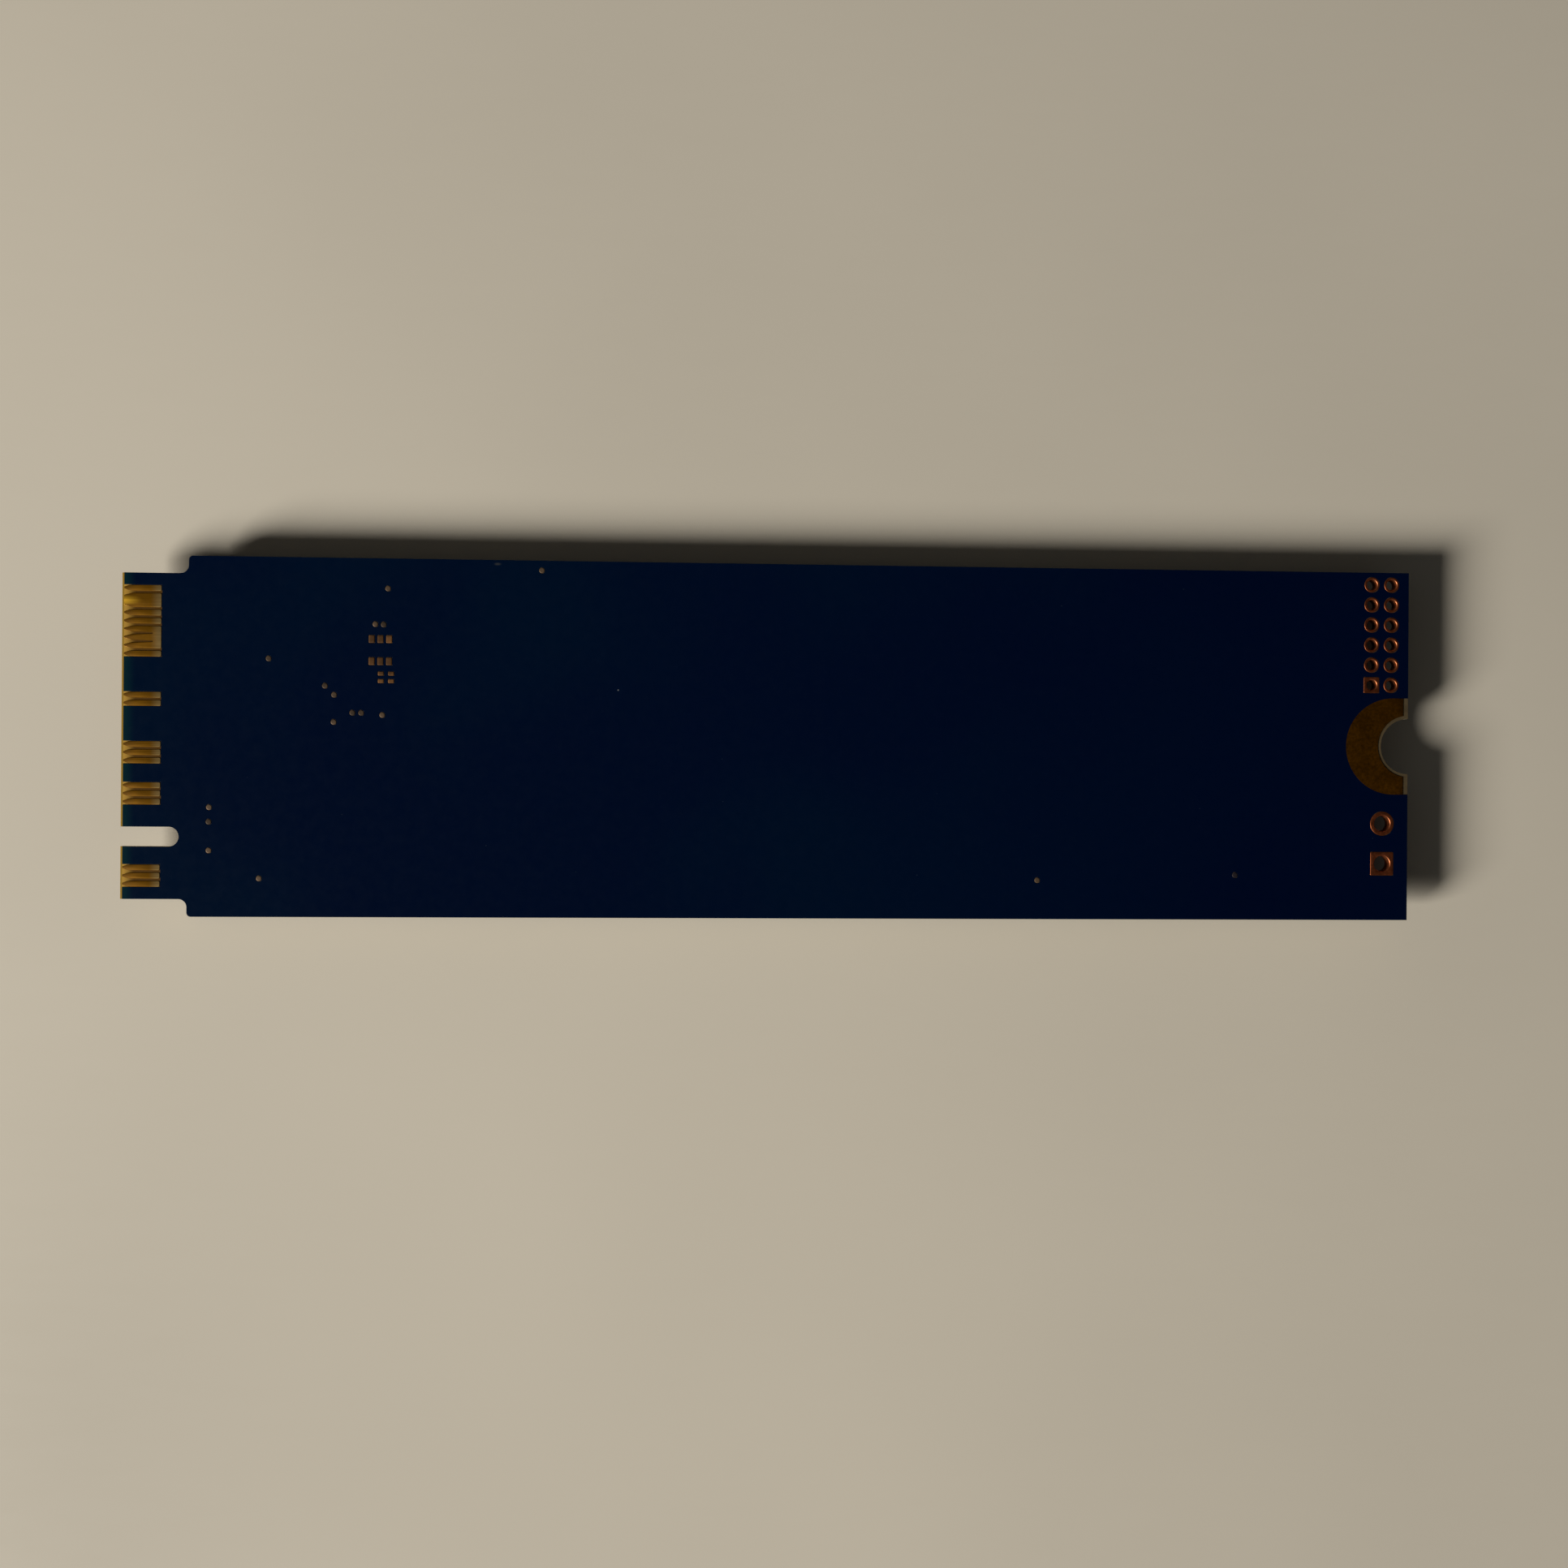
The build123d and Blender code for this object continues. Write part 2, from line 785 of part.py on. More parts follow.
def write_power_parts():
    write("inductor_cores", inductor_cores())
    write("inductor_terminals", inductor_terminals())
    base, lid = crystal()
    write("crystal_base", [base])
    write("crystal_lid", [lid])


def main():
    os.makedirs("parts", exist_ok=True)
    write_board()
    write_ball_packages()
    write_flat_packages()
    write_chips()
    write_resistors()
    write_power_parts()


main()
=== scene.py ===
import json
import math
import random

import bmesh
import bpy
from bpy.props import FloatProperty, FloatVectorProperty, IntProperty, PointerProperty
from mathutils import Matrix, Vector


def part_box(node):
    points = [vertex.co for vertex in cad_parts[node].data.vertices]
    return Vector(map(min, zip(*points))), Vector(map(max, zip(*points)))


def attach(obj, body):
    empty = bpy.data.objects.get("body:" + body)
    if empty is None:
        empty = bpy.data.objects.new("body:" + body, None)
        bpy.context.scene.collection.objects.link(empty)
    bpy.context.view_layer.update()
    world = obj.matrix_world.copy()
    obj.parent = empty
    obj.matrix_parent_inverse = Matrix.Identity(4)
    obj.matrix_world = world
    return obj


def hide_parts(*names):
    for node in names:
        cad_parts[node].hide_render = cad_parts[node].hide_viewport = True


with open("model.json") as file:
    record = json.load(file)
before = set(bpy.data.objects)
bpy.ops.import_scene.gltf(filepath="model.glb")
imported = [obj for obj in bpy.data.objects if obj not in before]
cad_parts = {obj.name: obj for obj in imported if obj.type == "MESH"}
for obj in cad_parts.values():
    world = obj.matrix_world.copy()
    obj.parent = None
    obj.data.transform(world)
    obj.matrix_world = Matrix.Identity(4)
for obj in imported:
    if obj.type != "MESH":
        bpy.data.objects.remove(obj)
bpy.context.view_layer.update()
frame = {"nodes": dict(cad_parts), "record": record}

bl_info = {
    "name": "Storage module dressing",
    "version": (1, 0, 0),
    "blender": (4, 5, 0),
    "location": "View3D > Sidebar > Module",
    "description": "Dresses the plug-in storage module: its bare back, contacts, plated holes "
    "and packages",
    "category": "Object",
}

MM = 0.001
MERGE = 0.0004  # points nearer than this, in millimetres, become one


def display(red, green, blue):
    """The linear colour that a screen shows as these 0 to 255 values."""
    values = []
    for level in (red, green, blue):
        share = level / 255
        values.append(share / 12.92 if share <= 0.04045 else ((share + 0.055) / 1.055) ** 2.4)
    return tuple(values)


def amount(name, description, value, **kind):
    return FloatProperty(name=name, description=description, default=value, min=0.0, **kind)


def size(name, description, millimetres):
    return amount(
        name, description, millimetres * MM, precision=5, subtype="DISTANCE", unit="LENGTH"
    )


def tint(name, description, red, green, blue):
    return FloatVectorProperty(
        name=name, description=description, default=display(red, green, blue),
        min=0.0, max=1.0, size=3, subtype="COLOR",
    )


# Sizes and colours that a user would change


class BoardSettings(bpy.types.PropertyGroup):
    mask_colour: tint("Mask", "Solder mask over copper", 0, 10, 33)
    mask_violet: tint("Mask, violet", "Patches where the mask looks more violet", 0, 7, 31)
    mask_teal: tint("Mask, teal", "Patches where the mask looks greener", 0, 14, 34)
    mask_tab: tint("Mask at the tab", "Thin mask over laminate at the front edge", 4, 32, 39)
    mask_round: size("Mask edge", "Rounding of the mask round its windows", 0.008)
    laminate_colour: tint("Laminate", "Bare glass and epoxy on a face", 76, 64, 44)
    laminate_tip: tint("Laminate at the tips", "Laminate between the contacts' tips", 166, 127, 50)
    # The darker laminate towards the contacts' inner ends is painted shade standing in for the
    # contacts' shadows in the gaps
    laminate_inner_shade: tint("Laminate, inner", "Laminate between the contacts' ends", 72, 46, 2)
    laminate_front: tint("Front bevel", "Resin along the bevel at the front", 102, 77, 6)
    cut_colour: tint("Cut edge", "Resin at a cut or bevelled edge", 204, 190, 158)
    glass_colour: tint("Glass", "Glass strands that show at a cut edge", 232, 224, 202)
    gold_colour: tint("Contact gold", "Gold plating of the edge contacts", 122, 81, 2)
    gold_joint: tint("Joined gold", "Bright gold at the front of the joined pair", 214, 164, 40)
    gold_end: tint("Contact ends", "Greyer gold at the contacts' inner ends", 150, 124, 76)
    contact_round: size("Contact edge", "Rounding along a contact's upper edges", 0.022)
    bare_colour: tint("Bare copper", "Dull metal round the screw hole", 98, 60, 6)
    dot_colour: tint("Dots", "Dull finish of the round dots", 88, 70, 52)
    pad_colour: tint("Small pads", "Warmer finish of the small rectangular pads", 112, 74, 36)
    copper_colour: tint("Ring copper", "Plating of the drilled holes", 150, 80, 47)
    lip: size("Hole lip", "Rounding where a plated hole meets its pad", 0.075)
    pad_round: size("Pad edge", "Rounding of a pad's outer edge", 0.018)


class PackageSettings(bpy.types.PropertyGroup):
    mould_colour: tint("Moulding", "Black moulding compound", 34, 34, 36)
    mould_round: size("Moulding edge", "Rounding of the moulded bodies", 0.07)
    substrate_colour: tint("Substrate", "Ball grid package's small board", 24, 58, 40)
    mark_radius: size("Pin mark radius", "Radius of the dimple by pin 1", 0.45)
    mark_depth: size("Pin mark depth", "Depth of the dimple by pin 1", 0.03)
    solder_colour: tint("Solder", "Tin alloy of balls and fillets", 196, 196, 198)
    tin_colour: tint("Tin plate", "Tin-plated end caps and leads", 206, 202, 196)


class ChipSettings(bpy.types.PropertyGroup):
    ceramic_colour: tint("Capacitor", "Capacitor ceramic", 146, 112, 78)
    alumina_colour: tint("Resistor core", "White alumina", 222, 220, 212)
    glaze_colour: tint("Resistor glaze", "Dark glaze over the resistive film", 20, 20, 22)
    ferrite_colour: tint("Ferrite", "Ferrite bead body", 58, 56, 56)
    core_colour: tint("Inductor", "Pressed iron powder body", 92, 92, 94)
    lid_colour: tint("Crystal lid", "Nickel-plated lid", 198, 192, 178)
    base_colour: tint("Crystal base", "Dark ceramic tray", 66, 58, 52)
    chip_round: size("Chip edge", "Rounding of the small chips", 0.035)
    fillet_reach: size("Fillet reach", "How far solder runs out from an end cap", 0.14)
    steps: IntProperty(
        name="Bevel steps", description="Steps in a rounded edge", default=2, min=1, max=4
    )


class StageSettings(bpy.types.PropertyGroup):
    floor_colour: tint("Floor", "Plain pale floor", 190, 181, 164)
    lamp_power: amount("Key", "Power of the key lamp", 9.7, subtype="POWER")
    lamp_width: size("Key width", "Width of the key lamp", 250.0)
    lamp_distance: size("Key distance", "How far the key lamp stands off", 700.0)
    fill: amount("Fill", "Strength of the soft light from the sky", 0.18)


def settings():
    scene = bpy.context.scene
    return scene.board_settings, scene.package_settings, scene.chip_settings, scene.stage_settings


# Board data, in millimetres, as the CAD part has them

FRONT_X, FAR_X, SIDE_Y, TAB_Y = -40.0, 40.0, 11.0, 9.925
BEVEL, SHOULDER_X, SHOULDER_FILLET, SHOULDER_CORNER = 0.15, -36.0, 0.5, 0.25
TAB_FRONT = FRONT_X + BEVEL
KEY_Y, KEY_RADIUS, KEY_DEPTH = -6.125, 0.6, 3.5
SCREW_RADIUS, SCREW_PAD_RADIUS, SCREW_PAD_INSET = 1.75, 3.05, 0.95
SCREW_COPPER_GAP, SCREW_EDGE_GAP = 0.2, 0.31
CONTACT_FRONT, CONTACT_LENGTH, CONTACT_WIDTH, CONTACT_PITCH = -39.85, 2.24, 0.35, 0.5
CONTACT_END, CONTACT_HALF = CONTACT_FRONT + CONTACT_LENGTH, CONTACT_WIDTH / 2
TIP_WIDTH, TIP_LENGTH, CONTACT_CORNER, BRIDGE = 0.1, 0.45, 0.08, 0.4
TIP_CURVE = 0.5, 0.62  # where the taper bends: share of its length, of its widening
WINDOW_RELIEF, MASK_RELIEF = 0.02, 0.02
WAVER_STEP, WAVER = 0.2, (-0.018, 0.022)  # the uneven inner side of a printed window
SEEDS = {"solder_mask_back": 5, "solder_mask_front": 9}
BORES = {"debug_header_rings": 0.325, "power_header_rings": 0.5}
PLATING, RING_CORNER, RING_STEPS, LIP_STEPS = 0.025, 0.07, 48, 5
DOT_STEPS, PAD_CORNER, PAD_STEPS, CROWN_STEPS = 20, 0.06, 3, 4
WALL_SHARE, CROWN_INSET, CROWN_TOP = 0.4, 0.45, 0.5  # of a crowned pad's height and width
MARK_MARGIN, MARK_FLOOR = 1.0, 0.95
BALL_BULGE = 1.18  # of the CAD post's width
SOLDER_RISE, SOLDER_SLIP, SOLDER_SEED = 0.62, 0.02, 7
CORNER_SHARE = 0.04  # how near its box's corner a square pad has a point, of its length

# Soft spots on the back and on the floor: place and reach in millimetres, and stretch

BACK_Z = 2.2
JOINT = (CONTACT_FRONT, 8.25, BACK_Z), 1.2, (1, 3.2, 1)
FLECK = (-9.91, 3.07, BACK_Z), 0.07
SCUFF = (-17.35, 10.75, BACK_Z), 0.3, (1, 2.5, 1)
# Painted shade on the floor, towards minus X and minus Y
FLOOR_SHADE_SPOT = (-43, -46, 0), 34

# The photo's camera: where it stands in millimetres, its turn as axis times angle, its lens

CAMERA_PLACE = Vector((-5.61940, -2.80225, 107.51011))
CAMERA_TURN = Vector((0.00121191522, -0.0569892372, 0.0071615642))
CAMERA_LENS, CAMERA_SENSOR = 39.0, 36.0

# Lights: where the lamp stands, colours, and the heights where the soft light comes and goes

LAMP_WAY, LAMP_COLOUR = Vector((-4.05, -2.3, 2.1)), (1.0, 0.985, 0.955)
SKY_COLOUR, BACKDROP_COLOUR = (0.96, 0.98, 1.0), (0.62, 0.59, 0.53)
SKY_RISE, SKY_FADE, SKY_LOW = (0.34, 0.6), (0.45, 0.9), 0.01


# Mesh tools. Shapes are built in millimetres and scaled to metres at the end.


def arc(x, y, radius, start, end, steps):
    points = []
    for i in range(steps + 1):
        angle = math.radians(start + (end - start) * i / steps)
        points.append((x + radius * math.cos(angle), y + radius * math.sin(angle)))
    return points


def circle(x, y, radius, steps=40):
    return arc(x, y, radius, 0, 360, steps)[:-1]


def rounded_box(x, y, length, width, radius, steps=4):
    half_x, half_y = length / 2 - radius, width / 2 - radius
    points = []
    for turn, (sx, sy) in enumerate(((1, 1), (-1, 1), (-1, -1), (1, -1))):
        points += arc(x + sx * half_x, y + sy * half_y, radius, turn * 90, turn * 90 + 90, steps)
    return points


def new_object(name, data):
    piece = bpy.data.objects.new(name, data)
    bpy.context.scene.collection.objects.link(piece)
    return piece


def remove_object(piece):
    data = piece.data
    bpy.data.objects.remove(piece)
    store = bpy.data.meshes if isinstance(data, bpy.types.Mesh) else bpy.data.curves
    store.remove(data)


def evaluated_mesh(piece):
    bpy.context.view_layer.update()
    graph = bpy.context.evaluated_depsgraph_get()
    return bpy.data.meshes.new_from_object(piece.evaluated_get(graph))


def to_mesh(shape, name):
    bmesh.ops.recalc_face_normals(shape, faces=shape.faces)
    shape.transform(Matrix.Scale(MM, 4))
    mesh = bpy.data.meshes.new(name)
    shape.to_mesh(mesh)
    shape.free()
    return mesh


def smooth(mesh, angle=35):
    """Rounded edges shade smoothly and flat faces stay flat."""
    mesh.shade_smooth()
    mesh.set_sharp_from_angle(angle=math.radians(angle))
    return mesh


def merge_doubles(shape):
    bmesh.ops.remove_doubles(shape, verts=shape.verts, dist=MERGE)


def round_edges(shape, edges, width, steps):
    bmesh.ops.bevel(
        shape, geom=edges, offset=width, offset_type="OFFSET", segments=steps,
        profile=0.5, affect="EDGES", clamp_overlap=True,
    )


def ring(shape, outline, z):
    return [shape.verts.new((x, y, z)) for x, y in outline]


def rim(shape, loop):
    """The edges along a ring of points."""
    return [shape.edges.get(pair) for pair in zip(loop, loop[1:] + loop[:1])]


def skin(shape, rings):
    """Joins each ring of points to the next."""
    for first, second in zip(rings, rings[1:]):
        for i in range(len(first)):
            after = (i + 1) % len(first)
            shape.faces.new((first[i], first[after], second[after], second[i]))


def plate_mesh(name, outlines, bottom, top, edge):
    """A flat sheet with any number of windows, its rims rounded by edge."""
    curve = bpy.data.curves.new(name, "CURVE")
    curve.dimensions = "2D"
    curve.fill_mode = "BOTH"
    curve.extrude = (top - bottom) / 2 - edge
    curve.bevel_depth = edge
    curve.bevel_resolution = 1
    curve.offset = -edge
    for outline in outlines:
        spline = curve.splines.new("POLY")
        spline.points.add(len(outline) - 1)
        for point, (x, y) in zip(spline.points, outline):
            point.co = (x, y, 0, 1)
        spline.use_cyclic_u = True
    holder = new_object(name + "_curve", curve)
    sheet = evaluated_mesh(holder)
    remove_object(holder)
    shape = bmesh.new()
    shape.from_mesh(sheet)
    bpy.data.meshes.remove(sheet)
    merge_doubles(shape)
    bmesh.ops.translate(shape, verts=shape.verts, vec=(0, 0, (top + bottom) / 2))
    return to_mesh(shape, name)


def prism(shape, outline, bottom, top, edge, up):
    """Adds a solid with vertical walls, its rim rounded on the side that shows."""
    low, high = ring(shape, outline, bottom), ring(shape, outline, top)
    shape.faces.new(list(reversed(low)))
    shape.faces.new(high)
    skin(shape, [low, high])
    round_edges(shape, rim(shape, high if up else low), edge, 3)


def cad_shape(node):
    """A CAD node in millimetres, with its doubles merged."""
    shape = bmesh.new()
    shape.from_mesh(frame["nodes"][node].data)
    shape.transform(Matrix.Scale(1 / MM, 4))
    merge_doubles(shape)
    return shape


def loose_parts(node):
    """The separate solids of a CAD node, each a list of points in millimetres."""
    shape = cad_shape(node)
    left = set(shape.verts)
    parts = []
    while left:
        seed = left.pop()
        found, queue = [seed], [seed]
        while queue:
            for edge in queue.pop().link_edges:
                for vert in edge.verts:
                    if vert in left:
                        left.remove(vert)
                        found.append(vert)
                        queue.append(vert)
        parts.append([vert.co.copy() for vert in found])
    shape.free()
    return sorted(parts, key=lambda part: tuple(round(v, 3) for v in extent(part)[0]))


def extent(points):
    low = Vector([min(p[i] for p in points) for i in range(3)])
    high = Vector([max(p[i] for p in points) for i in range(3)])
    return low, high


def measure(points):
    """The middle of some points, and the lengths of the box round them."""
    low, high = extent(points)
    return (low + high) / 2, high - low


def is_square(points):
    """Whether a solid has a point in the corner of its box, seen from above."""
    low, high = extent(points)
    near = (high.x - low.x) * CORNER_SHARE
    return any(abs(p.x - high.x) < near and abs(p.y - high.y) < near for p in points)


def levels(node):
    """A node's lowest and highest Z, in millimetres."""
    return [corner.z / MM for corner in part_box(node)]


def softened_mesh(node, width, steps):
    """A copy of a CAD node with its sharp edges rounded."""
    shape = cad_shape(node)
    bmesh.ops.dissolve_limit(
        shape, angle_limit=math.radians(1), verts=shape.verts, edges=shape.edges, delimit=set(),
    )
    edges = [
        edge for edge in shape.edges
        if len(edge.link_faces) == 2 and edge.calc_face_angle() > math.radians(40)
    ]
    round_edges(shape, edges, width, steps)
    return smooth(to_mesh(shape, node))


def joined_mesh(name, meshes):
    shape = bmesh.new()
    for mesh in meshes:
        shape.from_mesh(mesh)
    result = bpy.data.meshes.new(name)
    shape.to_mesh(result)
    shape.free()
    return result


# Node trees


def put(tree, kind, inputs=(), **values):
    """Adds a node; an input is given a value or another node's output."""
    node = tree.nodes.new(kind)
    for name, value in values.items():
        setattr(node, name, value)
    for key, value in dict(inputs).items():
        socket = node.inputs[key]
        if isinstance(value, bpy.types.NodeSocket):
            tree.links.new(value, socket)
        else:
            socket.default_value = (*value, 1.0) if socket.type == "RGBA" else value
    return node


def maths(tree, operation, *inputs, clamp=False):
    node = put(
        tree, "ShaderNodeMath", dict(enumerate(inputs)), operation=operation, use_clamp=clamp
    )
    return node.outputs[0]


def vectors(tree, operation, *inputs):
    node = put(tree, "ShaderNodeVectorMath", dict(enumerate(inputs)), operation=operation)
    return node.outputs["Value" if operation in ("LENGTH", "DOT_PRODUCT") else "Vector"]


def split(tree, vector):
    return put(tree, "ShaderNodeSeparateXYZ", {0: vector}).outputs


def ranged(tree, value, start, end, low=0.0, high=1.0, kind="SMOOTHSTEP"):
    """Turns a value that runs from start to end into one that runs from low to high."""
    inputs = {"Value": value, "From Min": start, "From Max": end, "To Min": low, "To Max": high}
    return put(tree, "ShaderNodeMapRange", inputs, interpolation_type=kind).outputs[0]


def noise(tree, vector, scale, **more):
    inputs = {"Vector": vector, "Scale": scale, **more}
    return put(tree, "ShaderNodeTexNoise", inputs).outputs[0]


def node_group(kind, name, inputs, outputs):
    """Makes a function that joins nodes into one that builds its group once and returns it.

    inputs and outputs give each socket's name and kind, with commas between sockets.
    """

    def wrap(build):
        def group():
            if name in bpy.data.node_groups:
                return bpy.data.node_groups[name]
            tree = bpy.data.node_groups.new(name, kind)
            for way, sockets in (("INPUT", inputs), ("OUTPUT", outputs)):
                for socket in sockets.split(", "):
                    label, sort = socket.rsplit(" ", 1)
                    tree.interface.new_socket(label, in_out=way, socket_type="NodeSocket" + sort)
            given, ends = tree.nodes.new("NodeGroupInput"), tree.nodes.new("NodeGroupOutput")
            for end, result in zip(ends.inputs, build(tree, given.outputs)):
                tree.links.new(result, end)
            return tree

        return group

    return wrap


# Geometry Nodes: what repeats


def geometry_group(name, inputs):
    inputs = "Geometry Geometry, " + inputs + ", Material Material"
    return node_group("GeometryNodeTree", name, inputs, "Geometry Geometry")


def painted(tree, given, points, part, **more):
    """The part at every point, made real and given its material."""
    placed = put(
        tree, "GeometryNodeInstanceOnPoints", {"Points": points, "Instance": part, **more}
    )
    real = put(tree, "GeometryNodeRealizeInstances", {"Geometry": placed.outputs["Instances"]})
    inputs = {"Geometry": real.outputs["Geometry"], "Material": given["Material"]}
    return put(tree, "GeometryNodeSetMaterial", inputs).outputs["Geometry"]


@geometry_group("Repeat at places", "Part Object, Slip Float, Seed Int")
def repeat_tree(tree, given):
    """Puts one part at every place, each turned by its own angle and by a small slip."""
    tree.is_modifier = True
    part = put(tree, "GeometryNodeObjectInfo", {"Object": given["Part"]})
    turn = put(tree, "GeometryNodeInputNamedAttribute", {"Name": "turn"}, data_type="FLOAT")
    back = maths(tree, "MULTIPLY", given["Slip"], -1.0)
    slip = put(
        tree, "FunctionNodeRandomValue", {2: back, 3: given["Slip"], "Seed": given["Seed"]},
        data_type="FLOAT",
    )
    angle = maths(tree, "ADD", turn.outputs["Attribute"], slip.outputs[1])
    spin = put(tree, "ShaderNodeCombineXYZ", {"Z": angle}).outputs[0]
    part = part.outputs["Geometry"]
    return [painted(tree, given, given["Geometry"], part, Rotation=spin)]


@geometry_group(
    "Ball grid",
    "Columns Int, Rows Int, Pitch Float, Ball width Float, Ball height Float, Centre Vector",
)
def ball_tree(tree, given):
    """A grid of solder balls, each flattened where it meets the board and the package."""
    tree.is_modifier = True

    def across(count):
        return maths(tree, "MULTIPLY", maths(tree, "SUBTRACT", count, 1.0), given["Pitch"])

    grid = put(
        tree, "GeometryNodeMeshGrid",
        {
            "Size X": across(given["Columns"]), "Size Y": across(given["Rows"]),
            "Vertices X": given["Columns"], "Vertices Y": given["Rows"],
        },
    )
    middle = put(
        tree, "GeometryNodeTransform",
        {"Geometry": grid.outputs["Mesh"], "Translation": given["Centre"]},
    )
    radius = maths(tree, "MULTIPLY", given["Ball width"], 0.5)
    ball = put(tree, "GeometryNodeMeshUVSphere", {"Segments": 12, "Rings": 6, "Radius": radius})
    half = maths(tree, "MULTIPLY", given["Ball height"], 0.5)
    low = maths(tree, "MULTIPLY", half, -1.0)
    x, y, z = split(tree, tree.nodes.new("GeometryNodeInputPosition").outputs[0])
    level = put(tree, "ShaderNodeClamp", {"Value": z, "Min": low, "Max": half}).outputs[0]
    flat = put(tree, "ShaderNodeCombineXYZ", {0: x, 1: y, 2: level}).outputs[0]
    pressed = put(
        tree, "GeometryNodeSetPosition", {"Geometry": ball.outputs["Mesh"], "Position": flat}
    )
    rounded = put(tree, "GeometryNodeSetShadeSmooth", {"Geometry": pressed.outputs["Geometry"]})
    points = middle.outputs["Geometry"]
    return [painted(tree, given, points, rounded.outputs["Geometry"])]


def run_tree(name, tree, start, values):
    """Runs a tree on a mesh and returns the result as a plain mesh."""
    holder = new_object(name + "_start", start)
    modifier = holder.modifiers.new(tree.name, "NODES")
    modifier.node_group = tree
    for item in tree.interface.items_tree:
        if item.item_type == "SOCKET" and item.in_out == "INPUT" and item.name in values:
            modifier[item.identifier] = values[item.name]
    mesh = evaluated_mesh(holder)
    holder.modifiers.remove(modifier)
    remove_object(holder)
    mesh.name = name
    return mesh


def repeated_mesh(name, part_mesh, places, material, slip=0.0, seed=1):
    """part_mesh at each (x, y, z, turn), in millimetres and radians."""
    part = new_object(name + "_part", part_mesh)
    start = bpy.data.meshes.new(name + "_places")
    start.from_pydata([(x * MM, y * MM, z * MM) for x, y, z, turn in places], [], [])
    turns = start.attributes.new("turn", "FLOAT", "POINT")
    turns.data.foreach_set("value", [turn for x, y, z, turn in places])
    values = {"Part": part, "Slip": slip, "Seed": seed, "Material": material}
    mesh = run_tree(name, repeat_tree(), start, values)
    remove_object(part)
    return mesh


# Shader node groups: masks, colours, values and normals that several finishes share


def shader_group(name, inputs, outputs="Mask Float"):
    return node_group("ShaderNodeTree", name, inputs, outputs)


@shader_group(
    "Mottle",
    "Vector Vector, Scale Float, Detail Float, From Float, To Float, First Color, Second Color",
    "Colour Color, Mask Float",
)
def mottle_group(tree, given):
    """Soft patches between two colours."""
    patches = noise(tree, given["Vector"], given["Scale"], Detail=given["Detail"])
    mask = ranged(tree, patches, given["From"], given["To"])
    inputs = {0: mask, 6: given["First"], 7: given["Second"]}
    return put(tree, "ShaderNodeMix", inputs, data_type="RGBA").outputs[2], mask


@shader_group(
    "Grain", "Vector Vector, Scale Float, Stretch Vector, Low Float, High Float",
    "Height Float, Roughness Float",
)
def grain_group(tree, given):
    """A fine surface: its height, and a roughness between two values."""
    stretched = vectors(tree, "MULTIPLY", given["Vector"], given["Stretch"])
    height = noise(tree, stretched, given["Scale"], Detail=4.0, Roughness=0.6)
    return height, ranged(tree, height, 0.3, 0.7, given["Low"], given["High"], "LINEAR")


@shader_group("Rounded edges", "Gain Float")
def rounded_edge_group(tree, given):
    """Finds rounded edges, where the face looks along no axis."""
    normal = put(tree, "ShaderNodeNewGeometry").outputs["True Normal"]
    x, y, z = split(tree, vectors(tree, "ABSOLUTE", normal))
    most = maths(tree, "MAXIMUM", maths(tree, "MAXIMUM", x, y), z)
    left = maths(tree, "SUBTRACT", 1.0, most)
    return [maths(tree, "MULTIPLY", left, given["Gain"], clamp=True)]


@shader_group("Specks", "Vector Vector, Scale Float, Reach Float")
def speck_group(tree, given):
    """Scattered specks of dust or worn spots, in one cell of five."""
    inputs = {"Vector": given["Vector"], "Scale": given["Scale"]}
    cells = put(tree, "ShaderNodeTexVoronoi", inputs).outputs
    rare = maths(tree, "GREATER_THAN", split(tree, cells["Color"])[0], 0.8)
    near = maths(tree, "LESS_THAN", cells["Distance"], given["Reach"])
    return [maths(tree, "MULTIPLY", rare, near)]


@shader_group("Along", "Vector Vector, Axis Vector, Start Float, End Float")
def along_group(tree, given):
    """How far a point lies between two places on an axis, from 0 to 1."""
    reach = vectors(tree, "DOT_PRODUCT", given["Vector"], given["Axis"])
    return [ranged(tree, reach, given["Start"], given["End"])]


@shader_group("Flat faces", "Limit Float")
def flat_face_group(tree, given):
    """1 on faces that look straight up or down, 0 on cut edges and bevels."""
    normal = put(tree, "ShaderNodeNewGeometry").outputs["True Normal"]
    upright = maths(tree, "ABSOLUTE", split(tree, normal)[2])
    return [maths(tree, "GREATER_THAN", upright, given["Limit"])]


@shader_group("Spot", "Vector Vector, Centre Vector, Stretch Vector, Reach Float")
def spot_group(tree, given):
    """A soft spot about a place, longer one way if Stretch says so."""
    away = vectors(tree, "SUBTRACT", given["Vector"], given["Centre"])
    distance = vectors(tree, "LENGTH", vectors(tree, "MULTIPLY", away, given["Stretch"]))
    return [ranged(tree, distance, given["Reach"], 0.0)]


